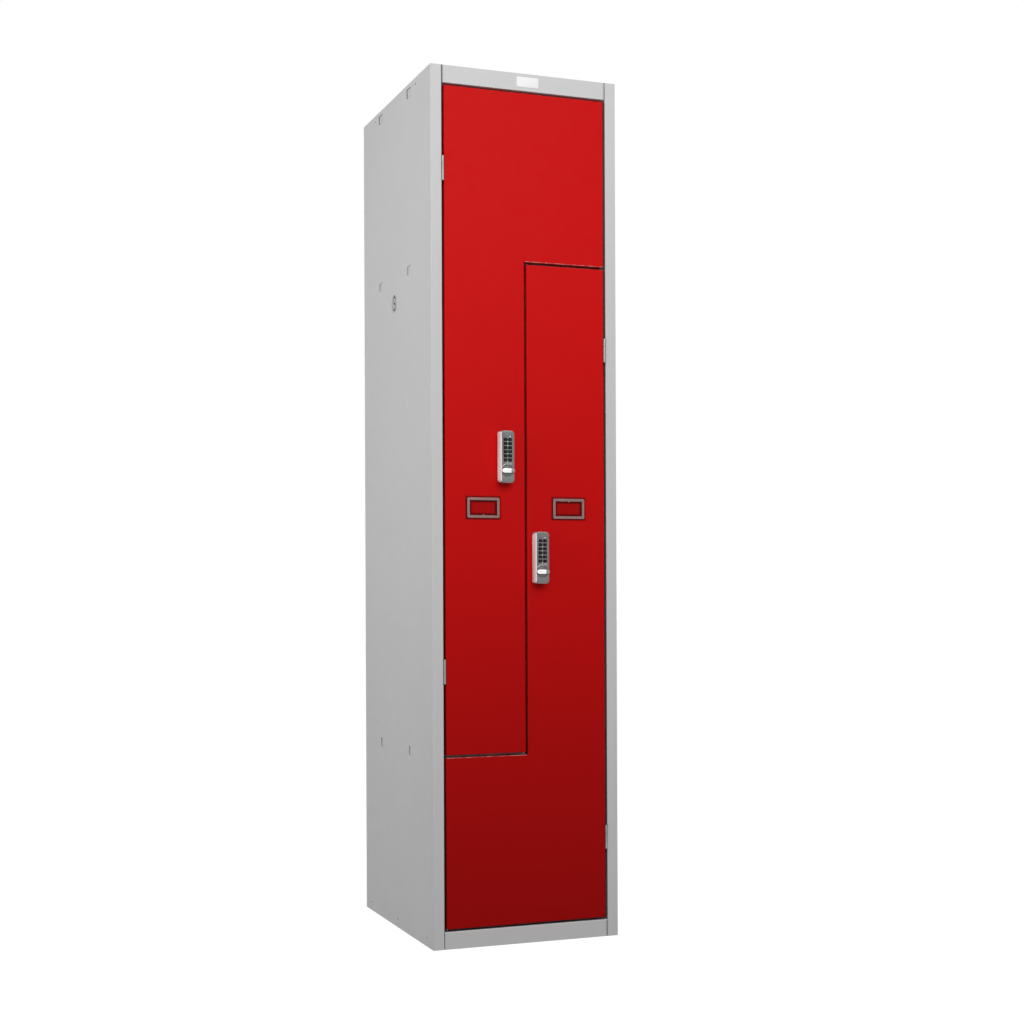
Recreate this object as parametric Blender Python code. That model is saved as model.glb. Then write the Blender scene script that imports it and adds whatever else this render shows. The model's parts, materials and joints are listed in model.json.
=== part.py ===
"""Steel Z locker: a folded sheet carcass with two interlocking L-shaped doors.

Each user has one tall narrow column and one bay of full width. The doors are the same
folded pan, the right one turned half a turn. Both carry a keypad lock whose thumb turn
swings a cam behind the centre post.

Metres, +Z up, front towards -Y, origin on the floor below the middle of the whole part.
Places are given as x across, depth behind the front face, and z above the floor.
"""

import math

import bmesh
import bpy
from mathutils import Matrix, Vector

# Overall size
WIDTH = 0.410
DEPTH = 0.500
HEIGHT = 1.800

# Sheet steel and how folded pieces meet
SHEET = 0.0009
SEAT_GAP = 0.0003
BEND_R = 0.0016
BEND_STEPS = 2
RELIEF = 0.003
OVERRUN = 0.004
WELD = 0.00001

# Facets of rounded forms
ROUND_STEPS = 16
FINE_STEPS = 32
CORNER_STEPS = 3
EDGE_STEPS = 2
SHARP_DEG = 35

# Carcass
STILE_W = 0.0238
RAIL_H = 0.0358
RAIL_GAP = 0.0011
STOP_LIP = 0.012
BACK_FLANGE = 0.016
TRAY_FLANGE = 0.035
FOOT_FLANGE = 0.018
BACK_LIFT = 0.001
STEP_RISE = 0.3925
SHELF_FLANGE = 0.026
SHELF_HEM = 0.010
POST_W = 0.030
POST_DEPTH = 0.010
POST_RETURN = 0.008
WALL_FLANGE = 0.015

# Windows in the side panels, through which the trays' flanges are welded
WINDOW_W = 0.026
WINDOW_H = 0.0185
WINDOW_FRONT = 0.148
WINDOW_REAR = 0.359
TOP_WINDOW_DROP = 0.019

# Doors
DOOR_GAP = 0.0047
DOOR_T = 0.018
DOOR_SHEET = 0.0010
DOOR_BEND_R = 0.0020
DOOR_LIP = 0.011
STOP_GAP = 0.002
STIFFENER_IN = 0.045
STIFFENER_CROWN = 0.026
STIFFENER_FLANGE = 0.009
STIFFENER_DEPTH = 0.012
STIFFENER_END_GAP = 0.006

# Hinges
HINGE_LEN = 0.050
HINGE_FROM_END = 0.210
HINGE_FROM_FAR_END = 0.565
AXIS_DEPTH = 0.0005
KNUCKLE_R = 0.0028
KNUCKLE_GAP = 0.0003
NOTCH_GAP = 0.0007
PIN_R = 0.0015
PIN_GAP = 0.00008
PIN_TIP = 0.0004
LEAF_T = 0.0010
LEAF_DEPTH = 0.0155
CURL_END_DEG = 93
KNUCKLES = 3

# Label holders
LABEL_W = 0.0705
LABEL_H = 0.042
LABEL_T = 0.0024
LABEL_BAR = 0.0055
LABEL_CORNER_R = 0.003
LABEL_EDGE_R = 0.0006
LABEL_IN = 0.0818
LABEL_TOOTH_R = 0.002
CARD_SLOT_T = 0.0011
CARD_SLOT_IN = 0.0025

# Keypad lock
LOCK_IN_LEFT = 0.0478
LOCK_IN_RIGHT = 0.0283
LOCK_RISE = 0.1035
LOCK_LIFT = 0.0010
HOUSING_W = 0.030
HOUSING_H = 0.108
HOUSING_T = 0.0208
HOUSING_CORNER_R = 0.007
HOUSING_EDGE_R = 0.0024
KEY_COLUMNS = 2
KEY_ROWS = 6
KEY_W = 0.0076
KEY_H = 0.0054
KEY_PITCH_X = 0.0098
KEY_PITCH_Z = 0.00835
KEY_CORNER_R = 0.0013
KEY_EDGE_R = 0.0004
KEY_PROUD = 0.0008
KEY_TRAVEL = 0.0010
KEY_TOP_DROP = 0.0191
WELL_DEPTH = 0.0055
WELL_GAP = 0.0003

# Thumb turn, spindle, back plate and cam
KNOB_RISE = 0.0250
KNOB_R = 0.0115
KNOB_T = 0.0018
DISH_T = 0.0008
DISH_GAP = 0.0008
GRIP_LEN = 0.0282
GRIP_H = 0.0090
GRIP_T = 0.0042
GRIP_CORNER_R = 0.0042
GRIP_EDGE_R = 0.0014
SPINDLE_R = 0.0040
SPINDLE_GAP = 0.00008
SPINDLE_TAIL = 0.0030
DOOR_HOLE_R = 0.0070
PLATE_W = 0.024
PLATE_H = 0.050
PLATE_T = 0.0016
PLATE_CORNER_R = 0.003
HUB_R = 0.0075
HUB_END_GAP = 0.0005
CAM_W = 0.014
CAM_T = 0.0025
CAM_HOOK = 0.010
CAM_CLEAR = 0.0012

# Coat hooks, which pass through the side panels
HOOK_DEPTH = 0.259
HOOK_DROP = 0.0535
HOOK_R = 0.0192
HOOK_HOLE_GAP = 0.0003
HOOK_COLLAR_R = 0.0225
HOOK_COLLAR_T = 0.0030
HOOK_BOSS_R = 0.0090
HOOK_BOSS_T = 0.0060
HOOK_GROOVE_R = 0.0072
HOOK_GROOVE_W = 0.0044
HOOK_GROOVE_T = 0.0024
HOOK_GROOVE_START_DEG = 25
HOOK_GROOVE_END_DEG = 270
HOOK_EYE_R = 0.0024
HOOK_EYE_T = 0.0034
HOOK_WIRE_R = 0.0032
HOOK_TIP_R = 0.0046
HOOK_REACH = 0.020
HOOK_BEND_R = 0.012
HOOK_BEND_DEG = 105
HOOK_STEPS = 10
HOOK_SIDES = 12

# Places that follow from the sizes above
OVERHANG = SEAT_GAP + HOUSING_T + KNOB_T + GRIP_T
FRONT_Y = (OVERHANG - DEPTH) / 2
HALF_W = WIDTH / 2
MID_Z = HEIGHT / 2
STOP_D = DOOR_T + STOP_GAP
LAP = SHEET + SEAT_GAP
TRAY_HALF_W = HALF_W - LAP
TRAY_FRONT_D = STOP_D + LAP
TRAY_BACK_D = DEPTH - 2 * LAP
RAIL_HALF_W = HALF_W - STILE_W - RAIL_GAP
LIP_HALF_W = RAIL_HALF_W - STOP_LIP
INNER_TOP = HEIGHT - LAP
UPPER_STEP = HEIGHT - STEP_RISE
LOWER_STEP = STEP_RISE
POST_BACK_D = STOP_D + POST_DEPTH
DOOR_HALF_W = HALF_W - STILE_W - DOOR_GAP
AXIS_X = DOOR_HALF_W + DOOR_GAP / 2
HINGES_LEFT = (HEIGHT - HINGE_FROM_END, HINGE_FROM_FAR_END)
HINGE_LEVELS = {"left": ("upper", "lower"), "right": ("lower", "upper")}
BORE_R = PIN_R + PIN_GAP
LEAF_OUT = DOOR_GAP / 2 - SEAT_GAP
LEAF_IN = LEAF_OUT - LEAF_T
KNUCKLE_REACH = KNUCKLE_R + NOTCH_GAP
FACE_D = -SEAT_GAP - HOUSING_T
CAM_D = POST_BACK_D + CAM_CLEAR
SPINDLE_END_D = CAM_D + CAM_T + SPINDLE_TAIL
SPINDLE_BORE_R = SPINDLE_R + SPINDLE_GAP
HOOK_Z = UPPER_STEP - HOOK_DROP

# The right door and all that it carries are the left ones turned half a turn about this line
TO_MIDDLE = Matrix.Translation((0, 0, -MID_Z))
HALF_TURN = TO_MIDDLE.inverted() @ Matrix.Rotation(math.pi, 4, "Y") @ TO_MIDDLE
MIRROR_X = Matrix.Scale(-1, 4, (1, 0, 0))
UNMOVED = Matrix.Identity(4)

FINISHES = {
    "frame_grey": ((0.60, 0.60, 0.60), 0.45, 0.0),
    "door_red": ((0.52, 0.008, 0.009), 0.38, 0.0),
    "zinc_steel": ((0.42, 0.42, 0.41), 0.40, 0.9),
    "label_steel": ((0.30, 0.24, 0.22), 0.38, 0.8),
    "lock_silver": ((0.25, 0.25, 0.25), 0.36, 0.7),
    "knob_chrome": ((0.72, 0.72, 0.72), 0.16, 1.0),
    "key_black": ((0.012, 0.012, 0.014), 0.42, 0.0),
    "hook_grey": ((0.45, 0.45, 0.45), 0.50, 0.0),
}


def clear_scene():
    for item in list(bpy.data.objects):
        bpy.data.objects.remove(item, do_unlink=True)


def finish(name):
    """The named material, made once."""
    material = bpy.data.materials.get(name)
    if material is None:
        colour, roughness, metallic = FINISHES[name]
        material = bpy.data.materials.new(name)
        material.use_nodes = True
        shader = material.node_tree.nodes["Principled BSDF"]
        shader.inputs["Base Color"].default_value = (*colour, 1.0)
        shader.inputs["Roughness"].default_value = roughness
        shader.inputs["Metallic"].default_value = metallic
    return material


def at(x, depth, z):
    """A point x across, depth behind the front face and z above the floor."""
    return Vector((x, FRONT_Y + depth, z))


def make_object(name, mesh_data, slot=None, origin=None, parent=None):
    """An object whose origin is on its joint axis or seat; its mesh comes in whole-part places."""
    origin = Vector(origin) if origin is not None else Vector()
    bmesh.ops.translate(mesh_data, verts=mesh_data.verts, vec=-origin)
    mesh = bpy.data.meshes.new(name)
    mesh_data.to_mesh(mesh)
    mesh_data.free()
    item = bpy.data.objects.new(name, mesh)
    bpy.context.scene.collection.objects.link(item)
    item["seat"] = origin
    item.location = origin
    if parent is not None:
        item.parent = parent
        item.location = origin - Vector(parent["seat"])
    if slot is not None:
        mesh.materials.append(finish(slot))
    return item


def shade(item):
    item.data.shade_smooth()
    item.data.set_sharp_from_angle(angle=math.radians(SHARP_DEG))


def helper(name, mesh_data, target):
    """A hidden guide solid, in the target's own place."""
    item = make_object(name, mesh_data, origin=target["seat"], parent=target)
    item.location = (0, 0, 0)
    item.hide_render = True
    item.display_type = "WIRE"
    return item


def combine(target, mesh_data, operation, suffix):
    """Cut a guide solid out of the target, or weld it on."""
    guide = helper(f"{target.name}_{suffix}", mesh_data, target)
    modifier = target.modifiers.new(suffix, "BOOLEAN")
    modifier.operation = operation
    modifier.solver = "EXACT"
    modifier.object = guide


def cut(target, mesh_data, suffix="cutter"):
    combine(target, mesh_data, "DIFFERENCE", suffix)


def weld_on(target, mesh_data, suffix="added"):
    combine(target, mesh_data, "UNION", suffix)


def sheet(name, faces, outer, slot, wall=SHEET, bend=BEND_R, move=UNMOVED, origin=None, parent=None):
    """Folded sheet: flat outer faces that share their bend lines, rounded there and walled inwards.

    faces are outlines of (x, depth, z) corners, and outer is the way the first one looks.
    """
    data = bmesh.new()
    for corners in faces:
        data.faces.new([data.verts.new(move @ at(*corner)) for corner in corners])
    bmesh.ops.remove_doubles(data, verts=data.verts, dist=WELD)
    bmesh.ops.recalc_face_normals(data, faces=data.faces)
    data.faces.ensure_lookup_table()
    if data.faces[0].normal.dot(move.to_3x3() @ Vector(outer)) < 0:
        bmesh.ops.reverse_faces(data, faces=data.faces)
    item = make_object(name, data, slot, origin, parent)
    if bend:
        bevel = item.modifiers.new("bends", "BEVEL")
        bevel.width = bend
        bevel.segments = BEND_STEPS
        bevel.limit_method = "ANGLE"
    solidify = item.modifiers.new("wall", "SOLIDIFY")
    solidify.thickness = wall
    solidify.offset = -1
    solidify.use_even_offset = True
    return item


def add_stack(data, rings):
    """A closed skin over rings of equal count, with both ends filled."""
    loops = [[data.verts.new(point) for point in ring] for ring in rings]
    count = len(loops[0])
    for near, far in zip(loops, loops[1:]):
        for i in range(count):
            j = (i + 1) % count
            data.faces.new((near[i], near[j], far[j], far[i]))
    data.faces.new(list(reversed(loops[0])))
    data.faces.new(loops[-1])


def face_out(data):
    """Turn the faces of a closed skin outwards."""
    bmesh.ops.recalc_face_normals(data, faces=data.faces)
    return data


def add_box(data, low, high):
    """A box between two (x, depth, z) corners."""
    (x0, d0, z0), (x1, d1, z1) = low, high
    outline = [(x0, z0), (x1, z0), (x1, z1), (x0, z1)]
    add_stack(data, [[at(x, d, z) for x, z in outline] for d in (d0, d1)])


def disc_ring(centre, radius, depth, steps=ROUND_STEPS):
    """A ring about a line along Y through centre, given as (x, z)."""
    turn = 2 * math.pi / steps
    return [
        at(centre[0] + radius * math.cos(turn * i), depth, centre[1] + radius * math.sin(turn * i))
        for i in range(steps)
    ]


def rounded_outline(width, height, radius, steps=CORNER_STEPS):
    """Corner points of a rectangle with round corners, about zero."""
    points = []
    half_w, half_h = width / 2 - radius, height / 2 - radius
    for quarter, (sx, sz) in enumerate(((1, 1), (-1, 1), (-1, -1), (1, -1))):
        for i in range(steps + 1):
            angle = math.pi / 2 * (quarter + i / steps)
            points.append((sx * half_w + radius * math.cos(angle), sz * half_h + radius * math.sin(angle)))
    return points


def pad_rings(
    centre, width, height, corner_r, edge_r, front_d, back_d, steps=CORNER_STEPS, edge_steps=EDGE_STEPS
):
    """Rings of a rounded block seen from the front, its front edge rolled over by edge_r."""
    rings = []
    for i in range(edge_steps + 1):
        angle = math.pi / 2 * i / edge_steps
        inset = edge_r * (1 - math.sin(angle))
        depth = front_d + edge_r * (1 - math.cos(angle))
        outline = rounded_outline(width - 2 * inset, height - 2 * inset, corner_r - inset, steps)
        rings.append([at(centre[0] + x, depth, centre[1] + z) for x, z in outline])
    outline = rounded_outline(width, height, corner_r, steps)
    rings.append([at(centre[0] + x, back_d, centre[1] + z) for x, z in outline])
    return rings


def inset_outline(outline, amount):
    """A right-angled outline, anticlockwise, drawn in by amount on every side."""
    count = len(outline)
    moved = []
    for i in range(count):
        (xa, za), (xb, zb), (xc, zc) = outline[i - 1], outline[i], outline[(i + 1) % count]
        before = Vector((xb - xa, zb - za)).normalized()
        after = Vector((xc - xb, zc - zb)).normalized()
        shift = (Vector((-before.y, before.x)) + Vector((-after.y, after.x))) * amount
        moved.append((xb + shift.x, zb + shift.y))
    return moved


def side_panel(name, move):
    """Side sheet, front stile, its return and stop lip, and the back flange, from one sheet."""
    x0, x1, x2 = -HALF_W, STILE_W - HALF_W, STILE_W + STOP_LIP - HALF_W
    back_x = BACK_FLANGE - HALF_W
    faces = [
        [(x0, 0, 0), (x0, 0, HEIGHT), (x0, DEPTH, HEIGHT), (x0, DEPTH, INNER_TOP), (x0, DEPTH, 0)],
        [(x0, 0, 0), (x1, 0, 0), (x1, 0, INNER_TOP), (x1, 0, HEIGHT), (x0, 0, HEIGHT)],
        [(x1, 0, 0), (x1, STOP_D, 0), (x1, STOP_D, INNER_TOP), (x1, 0, INNER_TOP)],
        [(x1, STOP_D, 0), (x2, STOP_D, 0), (x2, STOP_D, INNER_TOP), (x1, STOP_D, INNER_TOP)],
        [(x0, DEPTH, 0), (back_x, DEPTH, 0), (back_x, DEPTH, INNER_TOP), (x0, DEPTH, INNER_TOP)],
    ]
    panel = sheet(name, faces, (-1, 0, 0), "frame_grey", move=move)
    holes = bmesh.new()
    for depth, z in window_places():
        add_box(
            holes,
            (x0 - OVERRUN, depth - WINDOW_W / 2, z - WINDOW_H / 2),
            (x0 + OVERRUN, depth + WINDOW_W / 2, z + WINDOW_H / 2),
        )
    add_stack(holes, [hook_ring(HOOK_R + HOOK_HOLE_GAP, along) for along in (-OVERRUN, OVERRUN)])
    mirrored = move == MIRROR_X
    for z in HINGES_LEFT:
        height = HEIGHT - z if mirrored else z
        half = HINGE_LEN / 2 + NOTCH_GAP
        add_box(
            holes,
            (-AXIS_X - KNUCKLE_REACH, -OVERRUN, height - half),
            (x1 + OVERRUN, AXIS_DEPTH + KNUCKLE_REACH, height + half),
        )
    bmesh.ops.transform(holes, matrix=move, verts=holes.verts)
    cut(panel, face_out(holes), "holes")
    return panel


def window_places():
    """Depth and height of each window's middle: two each for the top panel and both shelves."""
    heights = (HEIGHT - TOP_WINDOW_DROP, UPPER_STEP, LOWER_STEP)
    return [(depth, z) for z in heights for depth in (WINDOW_FRONT, WINDOW_REAR)]


def rail_return(z):
    """Outline of the face between a rail and its stop lip, cut back round the stile lips."""
    rear = STOP_D - SEAT_GAP
    right = [
        (RAIL_HALF_W, 0), (RAIL_HALF_W, rear - BEND_R), (RAIL_HALF_W - BEND_R, rear), (LIP_HALF_W, rear),
        (LIP_HALF_W, STOP_D),
    ]
    left = [(-x, depth) for x, depth in reversed(right)]
    return [(x, depth, z) for x, depth in right + left]


def wall_x(x, d0, d1, z0, z1):
    """A flat face across x, between two depths and two heights."""
    return [(x, d0, z0), (x, d1, z0), (x, d1, z1), (x, d0, z1)]


def wall_d(depth, x0, x1, z0, z1):
    """A flat face at one depth, between two x places and two heights."""
    return [(x0, depth, z0), (x1, depth, z0), (x1, depth, z1), (x0, depth, z1)]


def floor_z(z, x0, x1, d0, d1):
    """A level face, between two x places and two depths."""
    return [(x0, d0, z), (x1, d0, z), (x1, d1, z), (x0, d1, z)]


def tray_rear(z):
    """The rear half of a tray's outline, from its right side round the back to its left side."""
    a, near, far = TRAY_HALF_W, TRAY_FRONT_D + RELIEF, TRAY_BACK_D - RELIEF
    return [
        (a, near, z), (a, far, z), (a, TRAY_BACK_D, z), (a - RELIEF, TRAY_BACK_D, z),
        (RELIEF - a, TRAY_BACK_D, z), (-a, TRAY_BACK_D, z), (-a, far, z), (-a, near, z),
    ]


def tray_flanges(z, drop):
    """Down-turned flanges along both sides and the back of a tray at height z."""
    a, near, far = TRAY_HALF_W, TRAY_FRONT_D + RELIEF, TRAY_BACK_D - RELIEF
    return [
        wall_x(-a, near, far, z - drop, z),
        wall_x(a, near, far, z - drop, z),
        wall_d(TRAY_BACK_D, RELIEF - a, a - RELIEF, z - drop, z),
    ]


def top_panel():
    """Top sheet with the front rail, the stop lip under it and flanges on the other sides."""
    low = HEIGHT - RAIL_H
    edge_x, edge_d = TRAY_HALF_W - BEND_R, LAP + BEND_R
    corners = [
        (-TRAY_HALF_W, edge_d, HEIGHT), (-edge_x, LAP, HEIGHT), (-RAIL_HALF_W, LAP, HEIGHT),
        (-RAIL_HALF_W, 0, HEIGHT), (RAIL_HALF_W, 0, HEIGHT), (RAIL_HALF_W, LAP, HEIGHT),
        (edge_x, LAP, HEIGHT), (TRAY_HALF_W, edge_d, HEIGHT),
    ]
    faces = [
        corners + tray_rear(HEIGHT),
        wall_d(0, -RAIL_HALF_W, RAIL_HALF_W, low, HEIGHT),
        rail_return(low),
        wall_d(STOP_D, -LIP_HALF_W, LIP_HALF_W, low - STOP_LIP, low),
    ]
    return sheet("top_panel", faces + tray_flanges(HEIGHT, TRAY_FLANGE), (0, 0, 1), "frame_grey")


def base_panel():
    """Front rail from the floor, stop lip, raised floor, and flanges turned in to stand on."""
    top = RAIL_H + STOP_LIP
    a, near, far = TRAY_HALF_W, TRAY_FRONT_D + RELIEF, TRAY_BACK_D - RELIEF
    foot_x = a - FOOT_FLANGE - RELIEF
    corners = [
        (-a, TRAY_FRONT_D, top), (-LIP_HALF_W, TRAY_FRONT_D, top), (-LIP_HALF_W, STOP_D, top),
        (LIP_HALF_W, STOP_D, top), (LIP_HALF_W, TRAY_FRONT_D, top), (a, TRAY_FRONT_D, top),
    ]
    rear = [
        (RELIEF - a, TRAY_BACK_D, 0), (-foot_x, TRAY_BACK_D, 0), (foot_x, TRAY_BACK_D, 0),
        (a - RELIEF, TRAY_BACK_D, 0), (a - RELIEF, TRAY_BACK_D, top), (RELIEF - a, TRAY_BACK_D, top),
    ]
    faces = [
        corners + tray_rear(top),
        wall_d(STOP_D, -LIP_HALF_W, LIP_HALF_W, RAIL_H, top),
        rail_return(RAIL_H),
        wall_d(0, -RAIL_HALF_W, RAIL_HALF_W, 0, RAIL_H),
        floor_z(0, -RAIL_HALF_W, RAIL_HALF_W, 0, FOOT_FLANGE),
        wall_x(-a, near, far, 0, top),
        wall_x(a, near, far, 0, top),
        floor_z(0, -a, FOOT_FLANGE - a, near, far),
        floor_z(0, a - FOOT_FLANGE, a, near, far),
        rear,
        floor_z(0, -foot_x, foot_x, TRAY_BACK_D - FOOT_FLANGE, TRAY_BACK_D),
    ]
    return sheet("base_panel", faces, (0, 0, 1), "frame_grey")


def shelf(name, step_z):
    """Full-width shelf behind a step of the doors, its front flange closing the gap there."""
    top = step_z + SHELF_FLANGE / 2
    low = top - SHELF_FLANGE
    a = TRAY_HALF_W
    corners = [
        (-a, TRAY_FRONT_D, top), (RELIEF - a, TRAY_FRONT_D, top),
        (a - RELIEF, TRAY_FRONT_D, top), (a, TRAY_FRONT_D, top),
    ]
    faces = [
        corners + tray_rear(top),
        wall_d(TRAY_FRONT_D, RELIEF - a, a - RELIEF, low, top),
        floor_z(low, RELIEF - a, a - RELIEF, TRAY_FRONT_D, TRAY_FRONT_D + SHELF_HEM),
    ]
    return sheet(name, faces + tray_flanges(top, SHELF_FLANGE), (0, 0, 1), "frame_grey")


def centre_divider():
    """Upright wall between the two columns, its front folded into a post that stops both doors."""
    half = POST_W / 2
    wall = -SHEET / 2
    rear = TRAY_BACK_D - LAP
    low = LOWER_STEP + SHELF_FLANGE / 2 + SEAT_GAP
    post_top = UPPER_STEP - SHELF_FLANGE / 2 - SEAT_GAP
    wall_top = UPPER_STEP + SHELF_FLANGE / 2 - LAP
    hem_d = TRAY_FRONT_D + SHELF_HEM + LAP
    wall_face = [
        (wall, POST_BACK_D, low), (wall, rear, low), (wall, rear, wall_top),
        (wall, hem_d, wall_top), (wall, hem_d, post_top), (wall, POST_BACK_D, post_top),
    ]
    faces = [
        wall_d(STOP_D, -half, half, low, post_top),
        wall_x(half, STOP_D, STOP_D + POST_RETURN, low, post_top),
        wall_x(-half, STOP_D, POST_BACK_D, low, post_top),
        wall_d(POST_BACK_D, -half, wall, low, post_top),
        wall_face,
        wall_d(rear, wall, wall + WALL_FLANGE, low, wall_top),
    ]
    return sheet("centre_divider", faces, (0, -1, 0), "frame_grey")


def back_panel():
    half_w = TRAY_HALF_W - BEND_R
    face = wall_d(DEPTH - LAP, -half_w, half_w, BACK_LIFT, HEIGHT)
    return sheet("back_panel", [face], (0, 1, 0), "frame_grey", bend=0)


def hook_ring(radius, along, steps=FINE_STEPS):
    """A ring about the left hook's axis, its plane along inwards from the side panel's outer face."""
    turn = 2 * math.pi / steps
    return [
        at(along - HALF_W, HOOK_DEPTH + radius * math.cos(turn * i), HOOK_Z + radius * math.sin(turn * i))
        for i in range(steps)
    ]


def groove_outline():
    """An S of two arcs, one above the other, as a band of constant width.

    Points are (toward the front, up) from the hook's middle.
    """
    start, end = math.radians(HOOK_GROOVE_START_DEG), math.radians(HOOK_GROOVE_END_DEG)
    upper = [start + (end - start) * i / HOOK_STEPS for i in range(HOOK_STEPS + 1)]
    left, right = [], []
    for angle in upper:
        for side, reach in ((left, HOOK_GROOVE_W / 2), (right, -HOOK_GROOVE_W / 2)):
            radius = HOOK_GROOVE_R + reach
            side.append((radius * math.cos(angle), HOOK_GROOVE_R + radius * math.sin(angle)))
    turned_left = [(-u, -v) for u, v in reversed(left[:-1])]
    turned_right = [(-u, -v) for u, v in reversed(right[:-1])]
    edge_a = left[:-1] + [middle(left[-1], (-right[-1][0], -right[-1][1]))] + turned_right
    edge_b = right[:-1] + [middle(right[-1], (-left[-1][0], -left[-1][1]))] + turned_left
    return edge_a + list(reversed(edge_b))


def middle(a, b):
    return ((a[0] + b[0]) / 2, (a[1] + b[1]) / 2)


def hook_prong_rings():
    """Rings along a J: straight in from the collar, then round and up to a thicker tip."""
    base = HOOK_COLLAR_T
    path = [(base, 0.0, HOOK_WIRE_R), (base + HOOK_REACH, 0.0, HOOK_WIRE_R)]
    turn = math.radians(HOOK_BEND_DEG)
    for i in range(1, HOOK_STEPS + 1):
        angle = turn * i / HOOK_STEPS
        path.append((
            base + HOOK_REACH + HOOK_BEND_R * math.sin(angle),
            HOOK_BEND_R * (1 - math.cos(angle)),
            HOOK_WIRE_R,
        ))
    end_x, end_z, _ = path[-1]
    for i in range(1, HOOK_STEPS):
        angle = math.pi * i / HOOK_STEPS
        travel = HOOK_TIP_R * (1 - math.cos(angle))
        radius = HOOK_TIP_R * math.sin(angle)
        if radius < HOOK_WIRE_R and travel < HOOK_TIP_R:
            continue
        path.append((end_x + travel * math.cos(turn), end_z + travel * math.sin(turn), radius))
    rings = []
    for i, (x, z, radius) in enumerate(path):
        x_a, z_a, _ = path[max(i - 1, 0)]
        x_b, z_b, _ = path[min(i + 1, len(path) - 1)]
        along = Vector((x_b - x_a, z_b - z_a)).normalized()
        centre_x, centre_z = x - HALF_W + SHEET, HOOK_Z + z
        ring = []
        for k in range(HOOK_SIDES):
            angle = 2 * math.pi * k / HOOK_SIDES
            side, lift = radius * math.cos(angle), radius * math.sin(angle)
            ring.append(at(centre_x - lift * along.y, HOOK_DEPTH + side, centre_z + lift * along.x))
        rings.append(ring)
    return rings


def coat_hook(name, move):
    """Moulded hook through the side panel: disc outside, collar and boss inside, one J-shaped prong."""
    data = bmesh.new()
    collar = SHEET + SEAT_GAP
    boss = collar + HOOK_COLLAR_T
    profile = [
        (HOOK_R, SEAT_GAP), (HOOK_R, collar), (HOOK_COLLAR_R, collar), (HOOK_COLLAR_R, boss),
        (HOOK_BOSS_R, boss), (HOOK_BOSS_R, boss + HOOK_BOSS_T),
    ]
    add_stack(data, [hook_ring(radius, along) for radius, along in profile])
    bmesh.ops.transform(face_out(data), matrix=move, verts=data.verts)
    origin = move @ at(-HALF_W, HOOK_DEPTH, HOOK_Z)
    hook = make_object(name, face_out(data), "hook_grey", origin)
    prong = bmesh.new()
    add_stack(prong, hook_prong_rings())
    bmesh.ops.transform(prong, matrix=move, verts=prong.verts)
    weld_on(hook, face_out(prong), "prong")
    groove = bmesh.new()
    outline = groove_outline()
    depths = (-OVERRUN, SEAT_GAP + HOOK_GROOVE_T)
    add_stack(groove, [[at(x - HALF_W, HOOK_DEPTH - u, HOOK_Z + v) for u, v in outline] for x in depths])
    bmesh.ops.transform(groove, matrix=move, verts=groove.verts)
    cut(hook, face_out(groove), "groove")
    eyes = bmesh.new()
    start = math.radians(HOOK_GROOVE_START_DEG)
    eye_u = HOOK_GROOVE_R * math.cos(start)
    eye_v = HOOK_GROOVE_R * (1 + math.sin(start))
    for sign in (1, -1):
        rings = []
        for along in (-OVERRUN, SEAT_GAP + HOOK_EYE_T):
            ring = []
            for i in range(ROUND_STEPS):
                angle = 2 * math.pi * i / ROUND_STEPS
                ring.append(at(
                    along - HALF_W,
                    HOOK_DEPTH - sign * eye_u + HOOK_EYE_R * math.cos(angle),
                    HOOK_Z + sign * eye_v + HOOK_EYE_R * math.sin(angle),
                ))
            rings.append(ring)
        add_stack(eyes, rings)
    bmesh.ops.transform(eyes, matrix=move, verts=eyes.verts)
    cut(hook, face_out(eyes), "eyes")
    shade(hook)
    return hook


def leaf_outline():
    """Outline of a leaf with its rolled end, about the pin, on the +u side; v runs backwards."""
    outer_start = math.acos(LEAF_OUT / KNUCKLE_R)
    inner_end = math.acos(LEAF_IN / BORE_R)
    tip = math.radians(CURL_END_DEG) - 2 * math.pi
    points = [(LEAF_IN, LEAF_DEPTH), (LEAF_OUT, LEAF_DEPTH)]
    for i in range(ROUND_STEPS + 1):
        angle = outer_start + (tip - outer_start) * i / ROUND_STEPS
        points.append((KNUCKLE_R * math.cos(angle), KNUCKLE_R * math.sin(angle)))
    for i in range(ROUND_STEPS + 1):
        angle = tip + (inner_end - tip) * i / ROUND_STEPS
        points.append((BORE_R * math.cos(angle), BORE_R * math.sin(angle)))
    return points


def hinge_leaf(name, sign, height, move, kept, parent=None):
    """One leaf of a hinge: rolled all along, then cleared where the other leaf's knuckles run."""
    data = bmesh.new()
    rings = []
    for z in (height - HINGE_LEN / 2, height + HINGE_LEN / 2):
        rings.append([at(-AXIS_X + sign * u, AXIS_DEPTH + v, z) for u, v in leaf_outline()])
    add_stack(data, rings)
    bmesh.ops.transform(data, matrix=move, verts=data.verts)
    origin = move @ at(-AXIS_X, AXIS_DEPTH, height)
    leaf = make_object(name, face_out(data), "zinc_steel", origin, parent)
    gaps = bmesh.new()
    step = HINGE_LEN / KNUCKLES
    for k in range(KNUCKLES):
        if k % 2 == kept:
            continue
        low = height - HINGE_LEN / 2 + k * step - KNUCKLE_GAP / 2
        high = low + step + KNUCKLE_GAP
        low -= OVERRUN if k == 0 else 0
        high += OVERRUN if k == KNUCKLES - 1 else 0
        add_box(
            gaps,
            (-AXIS_X - KNUCKLE_REACH, AXIS_DEPTH - KNUCKLE_REACH, low),
            (-AXIS_X + KNUCKLE_REACH, AXIS_DEPTH + KNUCKLE_REACH, high),
        )
    bmesh.ops.transform(gaps, matrix=move, verts=gaps.verts)
    cut(leaf, face_out(gaps), "gaps")
    shade(leaf)
    return leaf


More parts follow.
